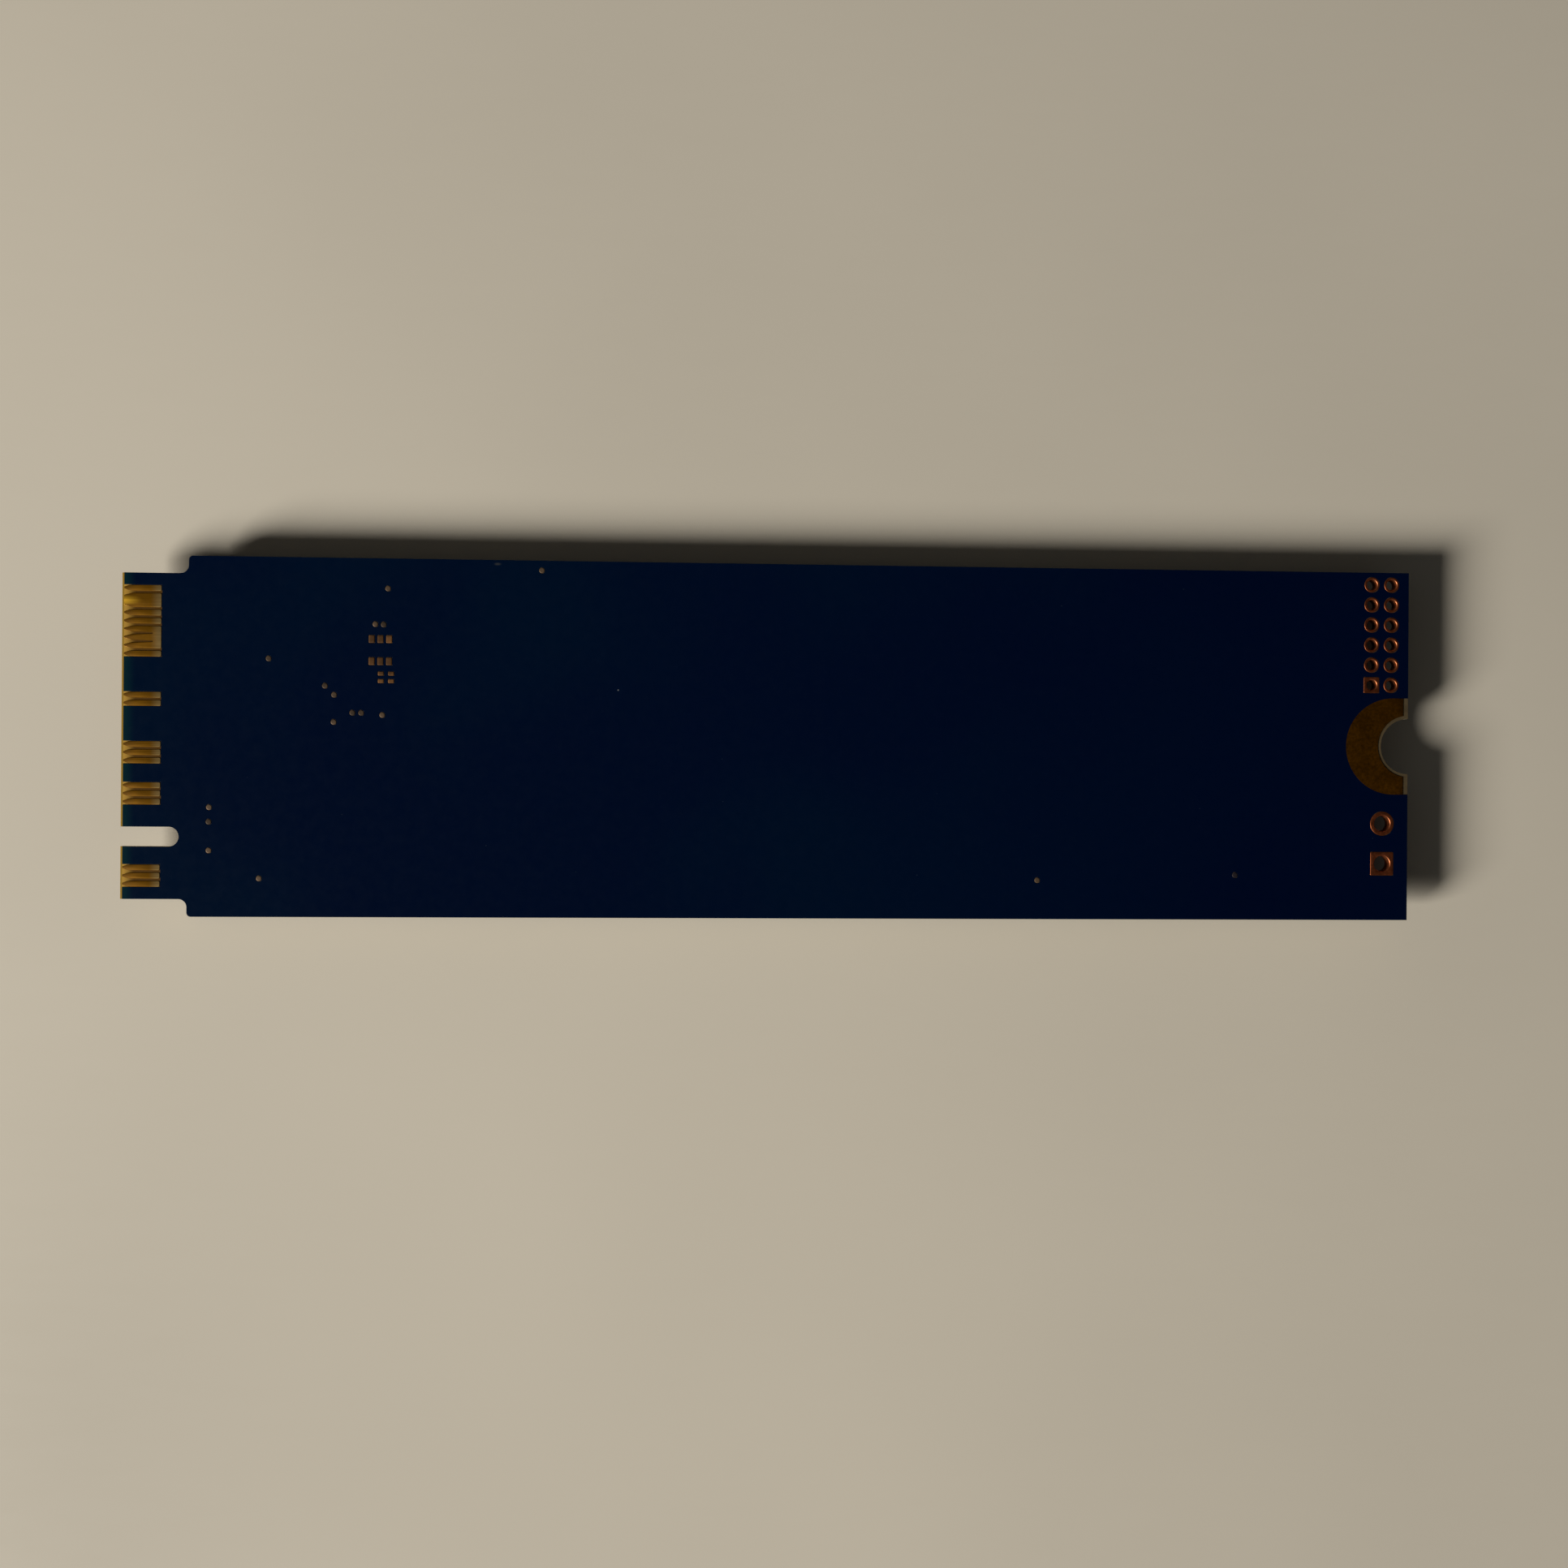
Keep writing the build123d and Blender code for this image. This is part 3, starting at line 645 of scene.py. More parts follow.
class Finish:
    """A material being built, with its coordinates in millimetres."""

    def __init__(self, name):
        self.material = bpy.data.materials.new(name)
        self.material.use_nodes = True
        self.tree = self.material.node_tree
        self.shader = self.tree.nodes["Principled BSDF"]
        place = put(self.tree, "ShaderNodeTexCoord").outputs["Object"]
        inputs = {"Vector": place, "Scale": (1 / MM, 1 / MM, 1 / MM)}
        self.vector = put(self.tree, "ShaderNodeMapping", inputs).outputs[0]
        self.colour = None

    def group(self, tree, **inputs):
        """The outputs of a shared group."""
        node = put(self.tree, "ShaderNodeGroup", inputs, node_tree=tree)
        if "Vector" in node.inputs:
            self.tree.links.new(self.vector, node.inputs["Vector"])
        return node.outputs

    def mottle(self, scale, low, high, first, second, detail=2.0):
        """Two colours in soft patches where noise runs from low to high, and their mask."""
        inputs = {"From": low, "To": high, "First": first, "Second": second}
        return self.group(mottle_group(), Scale=scale, Detail=detail, **inputs)

    def patches(self, scale, colour, factor, low=0.35):
        """A colour with patches that are darker or lighter by a factor."""
        return self.mottle(scale, low, 0.7, colour, tone(colour, factor), 3.0)[0]

    def rubs(self, scale, stretch):
        """A mask of fine marks, drawn out one way."""
        outputs = self.group(grain_group(), Scale=scale, Stretch=stretch, Low=0.0, High=1.0)
        return outputs["Roughness"]

    def along(self, start, end):
        """A mask that rises between two places in X."""
        way = 1 if end > start else -1
        inputs = {"Axis": (way, 0, 0), "Start": start * way, "End": end * way}
        return self.group(along_group(), **inputs)[0]

    def spot(self, place, reach, stretch=(1, 1, 1)):
        return self.group(spot_group(), Centre=place, Stretch=stretch, Reach=reach)[0]

    def mix(self, mask, first, second):
        inputs = {0: mask, 6: first, 7: second}
        return put(self.tree, "ShaderNodeMix", inputs, data_type="RGBA").outputs[2]

    def layer(self, mask, colour, factor=None):
        """Lays a colour over what is there, by a mask or by a share of it."""
        if factor is not None:
            mask = maths(self.tree, "MULTIPLY", mask, factor, clamp=True)
        self.colour = self.mix(mask, self.colour, colour)

    def grain(self, scale, low, high, bump, height, stretch=(1, 1, 1)):
        """Roughness from low to high, and a bump of that strength and height."""
        grain = self.group(grain_group(), Scale=scale, Stretch=stretch, Low=low, High=high)
        inputs = {"Height": grain["Height"], "Strength": bump, "Distance": height * MM}
        normal = put(self.tree, "ShaderNodeBump", inputs).outputs[0]
        self.tree.links.new(grain["Roughness"], self.shader.inputs["Roughness"])
        self.tree.links.new(normal, self.shader.inputs["Normal"])

    def done(self, metallic, specular):
        self.tree.links.new(self.colour, self.shader.inputs["Base Color"])
        self.shader.inputs["Metallic"].default_value = metallic
        self.shader.inputs["Specular IOR Level"].default_value = specular
        return self.material


# Finishes

BLACK = (0.0, 0.0, 0.0)


def tone(colour, factor):
    return tuple(min(1.0, level * factor) for level in colour)


def mask_finish(name):
    board = settings()[0]
    finish = Finish(name)
    finish.colour = finish.mottle(0.06, 0.4, 0.7, board.mask_colour, board.mask_teal, 1.5)[0]
    finish.layer(finish.along(-5, 34), board.mask_violet, 0.8)
    # Fine mottling, the thin mask at the front edge, dust, and two small marks
    fine, mask = finish.mottle(2.4, 0.4, 0.8, BLACK, board.mask_teal, 3.0)
    finish.layer(mask, fine, 0.12)
    finish.layer(finish.along(-39.1, -39.85), board.mask_tab)
    dust = finish.group(speck_group(), Scale=0.9, Reach=0.03)[0]
    finish.layer(dust, display(60, 66, 76), 0.2)
    finish.layer(finish.spot(*FLECK), display(110, 112, 112), 0.9)
    finish.layer(finish.spot(*SCUFF), display(88, 86, 74), 0.25)
    finish.grain(1.4, 0.34, 0.46, 0.15, 0.004)
    return finish.done(0.0, 0.04)


def laminate_finish(name):
    """Woven glass in resin: dull on its faces, pale along every cut edge."""
    board = settings()[0]
    finish = Finish(name)
    # Between the contacts, from their tips to their inner ends, where the darkening is painted
    # shade standing in for the contacts' shadows; bare laminate further in
    tips = finish.along(-39.9, -39.1)
    strip = finish.mix(tips, board.laminate_tip, board.laminate_inner_shade)
    bare = finish.patches(1.6, board.laminate_colour, 0.72, low=0.3)
    face = finish.mix(finish.along(-37.3, -37.7), bare, strip)
    # Cut edges: glass strands in plies, and darker resin along the front bevel
    finish.colour = finish.patches(1.6, board.cut_colour, 0.82, low=0.3)
    wave = {"Scale": 1.9, "Distortion": 0.6, "Detail": 2.0, "Detail Scale": 3.0}
    inputs = {"Vector": finish.vector, **wave}
    plies = put(finish.tree, "ShaderNodeTexWave", inputs, bands_direction="Z").outputs["Fac"]
    strands = finish.rubs(5.0, (0.35, 0.35, 7.0))
    finish.layer(strands, board.glass_colour, plies)
    finish.layer(finish.along(-39.78, -39.84), board.laminate_front)
    finish.layer(finish.group(flat_face_group(), Limit=0.95)[0], face)
    finish.grain(3.0, 0.5, 0.75, 0.3, 0.012)
    return finish.done(0.0, 0.1)


def gold_finish(name):
    board = settings()[0]
    finish = Finish(name)
    finish.colour = finish.patches(1.3, board.gold_colour, 0.84)
    # Greyer inner ends, tips darkened as painted shade, the bright joined pair, and rubbing along
    # the contacts
    finish.layer(finish.along(-38.3, -37.62), board.gold_end)
    # Painted shade: the tapered tips are darkened where they would mirror the dark above
    finish.layer(finish.along(-39.0, -39.7), tone(board.gold_colour, 0.54), 0.9)
    finish.layer(finish.spot(*JOINT), board.gold_joint)
    finish.layer(finish.rubs(3.0, (0.12, 5.0, 1.0)), tone(board.gold_colour, 0.7), 0.25)
    finish.grain(4.0, 0.36, 0.5, 0.12, 0.004, (0.15, 3.0, 1.0))
    return finish.done(0.6, 0.25)


def dot_finish(name, colour):
    """Dull pads, each a little lighter or darker, and the last one nearly covered."""
    finish = Finish(name)
    finish.colour = finish.mottle(0.8, 0.38, 0.62, colour, tone(colour, 0.4), 2.0)[0]
    finish.layer(finish.along(20, 26), settings()[0].mask_colour, 0.75)
    finish.grain(6.0, 0.5, 0.66, 0.2, 0.006)
    return finish.done(0.45, 0.3)


def plain_finish(name, colour, scale, factor, grain, shine, specks=None, edge=None):
    """Patches of a colour and a darker one, with specks and lighter edges where asked.

    grain holds what Finish.grain takes, shine metallic and specular, specks the scale,
    range, base, colour and detail of a mottle and its share, edge a colour and a share.
    """
    finish = Finish(name)
    finish.colour = finish.patches(scale, colour, factor)
    if specks:
        *mottle, share = specks
        speck, mask = finish.mottle(*mottle)
        finish.layer(mask, speck, share)
    if edge:
        finish.layer(finish.group(rounded_edge_group(), Gain=3.0)[0], *edge)
    finish.grain(*grain)
    return finish.done(*shine)


def metal_finish(name, colour, low, high, factor):
    return plain_finish(name, colour, 2.2, factor, (8.0, low, high, 0.2, 0.008), (1.0, 0.5))


def ceramic_finish(name, colour, low, high, speck):
    return plain_finish(
        name, colour, 2.6, 0.78, (12.0, low, high, 0.2, 0.008), (0.0, 0.5),
        specks=(18.0, 0.5, 0.75, colour, tone(colour, speck), 2.0, 0.4),
        edge=(tone(colour, 1.35), 0.35),
    )


def finish_of(slot):
    """The material of a slot, built the first time that it is asked for.

    Each slot has a name, a function and what that function takes after the name.
    """
    board, packages, chips = settings()[:3]
    bare, copper, mould = board.bare_colour, board.copper_colour, packages.mould_colour
    name, builder, *values = {
        "solder_mask": ("Solder mask", mask_finish),
        "laminate": ("Laminate", laminate_finish),
        "contact_gold": ("Contact gold", gold_finish),
        "bare_copper": (
            "Dull copper", plain_finish, bare, 0.9, 0.72, (6.0, 0.5, 0.66, 0.2, 0.006),
            (1.0, 0.5), (3.2, 0.45, 0.7, BLACK, tone(bare, 0.5), 4.0, 0.4),
            (tone(copper, 0.8), 0.6),
        ),
        # The ring copper's lighter rounded lips and pad edges are a painted highlight
        "ring_copper": (
            "Ring copper", plain_finish, copper, 1.7, 0.72, (7.0, 0.4, 0.58, 0.18, 0.006),
            (1.0, 0.5), None, (display(172, 110, 72), 0.65),
        ),
        "package_mould": (
            "Moulding compound", plain_finish, mould, 0.35, 0.8, (9.0, 0.48, 0.68, 0.3, 0.012),
            (0.0, 0.4), (14.0, 0.55, 0.75, BLACK, tone(mould, 1.9), 2.0, 0.5),
            (tone(mould, 2.2), 0.3),
        ),
        "package_substrate": (
            "Package substrate", plain_finish, packages.substrate_colour, 1.1, 0.7,
            (5.0, 0.35, 0.5, 0.15, 0.006), (0.0, 0.4), None, (display(120, 120, 70), 0.5),
        ),
        "crystal_lid": (
            "Crystal lid", plain_finish, chips.lid_colour, 1.8, 0.85,
            (5.0, 0.24, 0.42, 0.12, 0.005, (0.3, 6.0, 1.0)), (1.0, 0.5),
        ),
        "solder": ("Solder", metal_finish, packages.solder_colour, 0.28, 0.46, 0.8),
        "tin_plate": ("Tin plate", metal_finish, packages.tin_colour, 0.34, 0.52, 0.84),
        "capacitor_ceramic": (
            "Capacitor ceramic", ceramic_finish, chips.ceramic_colour, 0.34, 0.5, 0.6
        ),
        "resistor_ceramic": (
            "Resistor ceramic", ceramic_finish, chips.alumina_colour, 0.45, 0.6, 0.85
        ),
        "resistor_glaze": ("Resistor glaze", ceramic_finish, chips.glaze_colour, 0.18, 0.32, 1.8),
        "ferrite": ("Ferrite", ceramic_finish, chips.ferrite_colour, 0.45, 0.62, 1.5),
        "inductor_core": ("Iron powder", ceramic_finish, chips.core_colour, 0.5, 0.68, 1.6),
        "crystal_ceramic": ("Crystal ceramic", ceramic_finish, chips.base_colour, 0.45, 0.6, 1.4),
    }[slot]
    return bpy.data.materials.get(name) or builder(name, *values)


def slot_of(node):
    for part in frame["record"]["subparts"]:
        if part["node"] == node:
            return part["material_slot"]
    raise RuntimeError("the record has no node named " + node)


def declare(name, mesh, *nodes, slot=None, material=None):
    """Makes the finished piece and ties it to the frame."""
    slot = slot or slot_of(nodes[0])
    mesh.materials.clear()
    mesh.materials.append(material or finish_of(slot))
    piece = new_object(name, mesh)
    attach(piece, "root")
    if nodes:
        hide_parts(*nodes)


def softened_piece(node, width, steps):
    declare(node + "_form", softened_mesh(node, width, steps), node)


def repeated_piece(name, node, make, material):
    """One mesh for each kind of solid in a node, at the place of every solid of that kind.

    make is given the node, whether the solid has corners, its length and its width.
    """
    kinds = {}
    for part in loose_parts(node):
        middle, lengths = measure(part)
        kind = is_square(part), round(lengths.x, 4), round(lengths.y, 4)
        kinds.setdefault(kind, []).append((middle.x, middle.y, 0, 0.0))
    meshes = [
        repeated_mesh(node + "_set", make(node, *kind), places, material)
        for kind, places in sorted(kinds.items())
    ]
    declare(name, joined_mesh(name, meshes), node, material=material)


# Board


def mask_outline(notches):
    """The mask's outer line, with a notch in the tab for each window, from the far end round."""
    corner, inner = SHOULDER_X + SHOULDER_CORNER, SHOULDER_X - SHOULDER_FILLET
    side = arc(corner, SIDE_Y - SHOULDER_CORNER, SHOULDER_CORNER, 90, 180, 6)
    side += arc(inner, TAB_Y + SHOULDER_FILLET, SHOULDER_FILLET, 0, -90, 8) + [(TAB_FRONT, TAB_Y)]
    points = [(FAR_X, -SIDE_Y), (FAR_X, -SCREW_PAD_RADIUS)]
    points += reversed(arc(FAR_X - SCREW_PAD_INSET, 0, SCREW_PAD_RADIUS, 90, 270, 48))
    points += [(FAR_X, SCREW_PAD_RADIUS), (FAR_X, SIDE_Y)] + side
    for notch in sorted(notches, key=lambda notch: -notch[0][1]):
        points += notch
    return points + [(x, -y) for x, y in reversed(side)]


def key_notch():
    end = arc(FRONT_X + KEY_DEPTH - KEY_RADIUS, KEY_Y, KEY_RADIUS, 90, -90, 20)
    return [(TAB_FRONT, KEY_Y + KEY_RADIUS)] + end + [(TAB_FRONT, KEY_Y - KEY_RADIUS)]


def contact_groups(node):
    """Runs of contacts that share one window in the mask: their lowest and highest Y."""
    spans = sorted([corner.y for corner in extent(part)] for part in loose_parts(node))
    groups = [spans[0]]
    for low, high in spans[1:]:
        if low - groups[-1][1] < CONTACT_PITCH:
            groups[-1][1] = high
        else:
            groups.append([low, high])
    return groups


def contact_notch(low, high, rng):
    """A window's three sides. Its inner side wavers a little, as printed mask does."""
    end = CONTACT_END + WINDOW_RELIEF
    top, bottom = high + WINDOW_RELIEF, low - WINDOW_RELIEF
    steps = max(4, int((top - bottom) / WAVER_STEP))
    inner = []
    for i in range(steps + 1):
        waver = 0.0 if i in (0, steps) else rng.uniform(*WAVER)
        inner.append((end + waver, top + (bottom - top) * i / steps))
    return [(TAB_FRONT, top)] + inner + [(TAB_FRONT, bottom)]


def pad_windows(node, corner=0.08, corner_steps=4, round_steps=40):
    """A window round each pad: a box for a pad with corners, a circle for a round one."""
    windows = []
    for part in loose_parts(node):
        middle, lengths = measure(part)
        length, width = lengths.x + 2 * MASK_RELIEF, lengths.y + 2 * MASK_RELIEF
        if is_square(part):
            windows.append(rounded_box(middle.x, middle.y, length, width, corner, corner_steps))
        else:
            windows.append(circle(middle.x, middle.y, length / 2, round_steps))
    return windows


def mask_sheet(node, contacts, windows):
    rng = random.Random(SEEDS[node])
    notches = [contact_notch(low, high, rng) for low, high in contact_groups(contacts)]
    outlines = [mask_outline(notches + [key_notch()])] + windows
    mesh = plate_mesh(node + "_sheet", outlines, *levels(node), settings()[0].mask_round / MM)
    declare(node + "_sheet", mesh, node)


class DressBoard(bpy.types.Operator):
    """Give the laminate its glass and epoxy"""

    bl_idname = "module.dress_board"
    bl_label = "Laminate"

    def execute(self, context):
        board = frame["nodes"]["circuit_board"]
        board.data.materials.clear()
        board.data.materials.append(finish_of("laminate"))
        return {"FINISHED"}


class MakeMasks(bpy.types.Operator):
    """Build both sheets of solder mask with round windows and soft rims"""

    bl_idname = "module.make_masks"
    bl_label = "Solder mask"

    def execute(self, context):
        holes = [window for node in BORES for window in pad_windows(node)]
        dots = pad_windows("test_pads", round_steps=DOT_STEPS)
        pads = pad_windows("unfitted_part_pads", 0.05, PAD_STEPS)
        mask_sheet("solder_mask_back", "edge_contacts_back", holes + dots + pads)
        mask_sheet("solder_mask_front", "edge_contacts_front", holes)
        return {"FINISHED"}


def contact_outline():
    """One contact, its tip on the left, from the tip's upper corner round to the lower one."""
    tip = TIP_WIDTH / 2
    along, widening = TIP_CURVE
    upper = [
        (CONTACT_FRONT, tip),
        (CONTACT_FRONT + TIP_LENGTH * along, tip + (CONTACT_HALF - tip) * widening),
        (CONTACT_FRONT + TIP_LENGTH, CONTACT_HALF),
    ]
    corner = CONTACT_END - CONTACT_CORNER, CONTACT_HALF - CONTACT_CORNER
    upper += arc(*corner, CONTACT_CORNER, 90, 0, 4)
    return upper + [(x, -y) for x, y in reversed(upper)]


def joined_outline(top_y, count, root_x):
    """Neighbouring contacts joined by copper from root_x to their inner ends."""
    shoulder, corner_x = CONTACT_FRONT + TIP_LENGTH, CONTACT_END - CONTACT_CORNER
    gap, inset = CONTACT_PITCH / 2 - CONTACT_HALF, CONTACT_HALF - CONTACT_CORNER
    bottom = top_y - (count - 1) * CONTACT_PITCH
    points = []
    for i in range(count):
        y = top_y - i * CONTACT_PITCH
        points += [(CONTACT_FRONT, y + TIP_WIDTH / 2), (CONTACT_FRONT, y - TIP_WIDTH / 2)]
        if i < count - 1 and root_x > shoulder:
            points.append((shoulder, y - CONTACT_HALF))
            points += arc(root_x - gap, y - CONTACT_PITCH / 2, gap, 90, -90, 6)
            points.append((shoulder, y - CONTACT_PITCH + CONTACT_HALF))
    points.append((shoulder, bottom - CONTACT_HALF))
    points += arc(corner_x, bottom - inset, CONTACT_CORNER, -90, 0, 4)
    points += arc(corner_x, top_y + inset, CONTACT_CORNER, 0, 90, 4)
    points.append((shoulder, top_y + CONTACT_HALF))
    return points


class MakeContacts(bpy.types.Operator):
    """Build the gold edge contacts on both faces"""

    bl_idname = "module.make_contacts"
    bl_label = "Edge contacts"

    def execute(self, context):
        edge = settings()[0].contact_round / MM
        for node, up in (("edge_contacts_back", True), ("edge_contacts_front", False)):
            heights = levels(node)
            single, joined = bmesh.new(), bmesh.new()
            prism(single, contact_outline(), *heights, edge, up)
            places = []
            for part in loose_parts(node):
                middle, lengths = measure(part)
                if lengths.y < CONTACT_PITCH:
                    places.append((0, middle.y, 0, 0.0))
                    continue
                count = round(lengths.y / CONTACT_PITCH)
                top_y = extent(part)[1].y - CONTACT_HALF
                root = CONTACT_FRONT if count == 2 else CONTACT_END - CONTACT_CORNER - BRIDGE
                prism(joined, joined_outline(top_y, count, root), *heights, edge, up)
            one = to_mesh(single, node + "_one")
            rows = repeated_mesh(node + "_rows", one, places, finish_of("contact_gold"))
            mesh = joined_mesh(node + "_plated", [rows, to_mesh(joined, node + "_joined")])
            declare(node + "_plated", smooth(mesh), node)
        return {"FINISHED"}


class MakeScrewPads(bpy.types.Operator):
    """Build the bare crescents round the screw's half hole"""

    bl_idname = "module.make_screw_pads"
    bl_label = "Screw pads"

    def execute(self, context):
        edge = settings()[0].pad_round / MM
        cut = FAR_X - SCREW_EDGE_GAP
        inner = SCREW_RADIUS + SCREW_COPPER_GAP
        angle = math.degrees(math.acos((cut - FAR_X) / inner))
        outline = [(cut, -SCREW_PAD_RADIUS)]
        outline += arc(FAR_X, 0, inner, 360 - angle, angle, 48)
        outline.append((cut, SCREW_PAD_RADIUS))
        outline += arc(FAR_X - SCREW_PAD_INSET, 0, SCREW_PAD_RADIUS, 90, 270, 64)
        for node, up in (("screw_pad_back", True), ("screw_pad_front", False)):
            shape = bmesh.new()
            prism(shape, outline, *levels(node), edge, up)
            declare(node + "_crescent", smooth(to_mesh(shape, node + "_crescent")), node)
        return {"FINISHED"}


def ring_mesh(node, square, length, width):
    """One plated hole: a round bore with a lip, and a round or square pad on each face."""
    board = settings()[0]
    lip, edge = board.lip / MM, board.pad_round / MM
    bore, pad = BORES[node], length / 2

    def at(outline, z):
        return [(x, y, z) for x, y in outline]

    def round_ring(radius, z):
        return at(circle(0, 0, radius, RING_STEPS), z)

    def pad_ring(reach, z):
        if not square:
            return round_ring(reach, z)
        return at(rounded_box(0, 0, reach * 2, reach * 2, RING_CORNER, RING_STEPS // 4 - 1), z)

    def face(z, core, way):
        loops = []
        for i in range(LIP_STEPS + 1):
            angle = math.radians(90 * i / LIP_STEPS)
            out, down = lip * (1 - math.cos(angle)), lip * (1 - math.sin(angle))
            loops.append(round_ring(bore + out, z - way * down))
        loops += [pad_ring(pad - edge, z), pad_ring(pad - edge * 0.3, z - way * edge * 0.3)]
        loops += [pad_ring(pad, z - way * edge), pad_ring(pad, core)]
        return loops + [round_ring(bore + PLATING, core)]

    shape = bmesh.new()
    sides = [face(*side) for side in zip(levels(node), levels("circuit_board"), (-1, 1))]
    loops = [[shape.verts.new(point) for point in loop] for loop in sides[1] + sides[0][::-1]]
    skin(shape, loops + loops[:1])
    return smooth(to_mesh(shape, node + "_one"), 50)


class MakeRings(bpy.types.Operator):
    """Build the plated holes of the two unfitted headers"""

    bl_idname = "module.make_rings"
    bl_label = "Plated holes"

    def execute(self, context):
        for node in BORES:
            repeated_piece(node + "_plated", node, ring_mesh, finish_of("ring_copper"))
        return {"FINISHED"}


def crowned_mesh(node, square, length, width):
    """A round dot or a small box with a low crown."""
    shape = bmesh.new()
    bottom, top = levels(node)
    wall = bottom + (top - bottom) * WALL_SHARE

    def at(share, z):
        if not square:
            return ring(shape, circle(0, 0, length / 2 * share, DOT_STEPS), z)
        box = length * share, width * share, PAD_CORNER * share
        return ring(shape, rounded_box(0, 0, *box, PAD_STEPS), z)

    rings = [at(1.0, bottom), at(1.0, wall)]
    for i in range(1, CROWN_STEPS):
        angle = math.radians(90 * i / CROWN_STEPS)
        share = 1 - CROWN_INSET * (1 - math.cos(angle))
        rings.append(at(share, wall + (top - wall) * math.sin(angle)))
    rings.append(at(CROWN_TOP, top))
    skin(shape, rings)
    shape.faces.new(rings[-1])
    shape.faces.new(list(reversed(rings[0])))
    return smooth(to_mesh(shape, node + "_one"), 50)


class MakePads(bpy.types.Operator):
    """Build the bare test dots and the small pads where nothing is fitted"""

    bl_idname = "module.make_pads"
    bl_label = "Dots and pads"

    def execute(self, context):
        board = settings()[0]
        for node, name, colour in (
            ("test_pads", "Dull dots", board.dot_colour),
            ("unfitted_part_pads", "Dull pads", board.pad_colour),
        ):
            repeated_piece(node + "_crowned", node, crowned_mesh, dot_finish(name, colour))
        return {"FINISHED"}


# Packages


def mould_mesh(node, radius, depth):
    """A moulded body with rounded edges, and a round dimple by pin 1 in its outer face."""
    edge = settings()[1].mould_round / MM
    low, high = (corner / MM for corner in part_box(node))
    middle, lengths = (low + high) / 2, high - low
    shape = bmesh.new()

    def body_ring(inset, corner, z):
        sides = lengths.x - 2 * inset, lengths.y - 2 * inset
        return ring(shape, rounded_box(middle.x, middle.y, *sides, corner), z)

    body = [body_ring(0, edge * 1.5, high.z)]
    for i in range(4):
        angle = math.radians(30 * i)
        inset, rise = edge * (1 - math.cos(angle)), edge * (1 - math.sin(angle))
        body.append(body_ring(inset, edge * 1.5 - inset, low.z + rise))
    # A narrow flat margin keeps the shading of the rounded edge off the outer face
    body.append(body_ring(edge * 1.25, edge / 4, low.z))
    mark = low.x + MARK_MARGIN, high.y - MARK_MARGIN
    dimple = [
        ring(shape, circle(*mark, radius), low.z),
        ring(shape, circle(*mark, radius * MARK_FLOOR), low.z + depth),
    ]
    skin(shape, body)
    skin(shape, dimple)
    shape.faces.new(body[0])
    shape.faces.new(dimple[1])
    edges = rim(shape, body[-1]) + rim(shape, dimple[0])
    bmesh.ops.triangle_fill(shape, use_beauty=True, edges=edges)
    return smooth(to_mesh(shape, node + "_form"))


class MakeBallPackages(bpy.types.Operator):
    """Build the four ball grid packages: substrate, full grid of balls and moulded body"""

    bl_idname = "module.make_ball_packages"
    bl_label = "Ball grid packages"

    def execute(self, context):
        packages = settings()[1]
        mark = packages.mark_radius / MM, packages.mark_depth / MM
        for name in ("controller", "flash_a", "flash_b", "cache_memory"):
            node = name + "_mould"
            declare(node + "_form", mould_mesh(node, *mark), node)
            softened_piece(name + "_substrate", 0.02, 2)
            node = name + "_balls"
            parts = loose_parts(node)
            middle = measure([point for part in parts for point in part])[0]
            ball = measure(parts[0])[1]
            columns = sorted({round(measure(part)[0].x, 2) for part in parts})
            rows = {round(measure(part)[0].y, 2) for part in parts}
            values = {
                "Columns": len(columns), "Rows": len(rows),
                "Pitch": (columns[1] - columns[0]) * MM, "Centre": middle * MM,
                "Ball width": ball.x * BALL_BULGE * MM, "Ball height": ball.z * MM,
                "Material": finish_of("solder"),
            }
            mesh = run_tree(node + "_grid", ball_tree(), bpy.data.meshes.new(node), values)
            declare(node + "_grid", mesh, node)
        return {"FINISHED"}


class MakeFlatPackages(bpy.types.Operator):
    """Round the edges of the leadless packages, their leads, the inductors and the crystal"""

    bl_idname = "module.make_flat_packages"
    bl_label = "Leadless packages"

    def execute(self, context):
        steps = settings()[2].steps
        for node, width in (
            ("power_chip_mould", 0.05), ("load_switch_mould", 0.05), ("boot_flash_mould", 0.05),
            ("temperature_sensor_mould", 0.04), ("power_chip_leads", 0.02),
            ("load_switch_leads", 0.02), ("boot_flash_leads", 0.02),
            ("temperature_sensor_leads", 0.02), ("inductor_cores", 0.06),
            ("inductor_terminals", 0.02), ("crystal_base", 0.04), ("crystal_lid", 0.05),
        ):
            softened_piece(node, width, steps)
        return {"FINISHED"}


def fillet_mesh(name, width, height, reach):
    """Solder that runs down an end cap in a hollow curve and out over the board."""
    shape = bmesh.new()
    steps, narrow, sunk = 6, 0.86, -0.01
    left, right = [], []
    for i in range(steps + 1):
        angle = math.radians(90 * i / steps)
        out, z = reach * (1 - math.cos(angle)), -height * (1 - math.sin(angle))
        half = width / 2 * (narrow + (1 - narrow) * out / reach)
        left.append(shape.verts.new((out, half, z)))
        right.append(shape.verts.new((out, -half, z)))
    back = [shape.verts.new((sunk, side * width / 2 * narrow, 0.0)) for side in (1, -1)]
    for i in range(steps):
        shape.faces.new((left[i], left[i + 1], right[i + 1], right[i]))
    shape.faces.new((back[0], left[0], right[0], back[1]))
    shape.faces.new((back[0], back[1], right[-1], left[-1]))
    shape.faces.new([back[0]] + list(reversed(left)))
    shape.faces.new([back[1]] + right)
    return smooth(to_mesh(shape, name), 50)


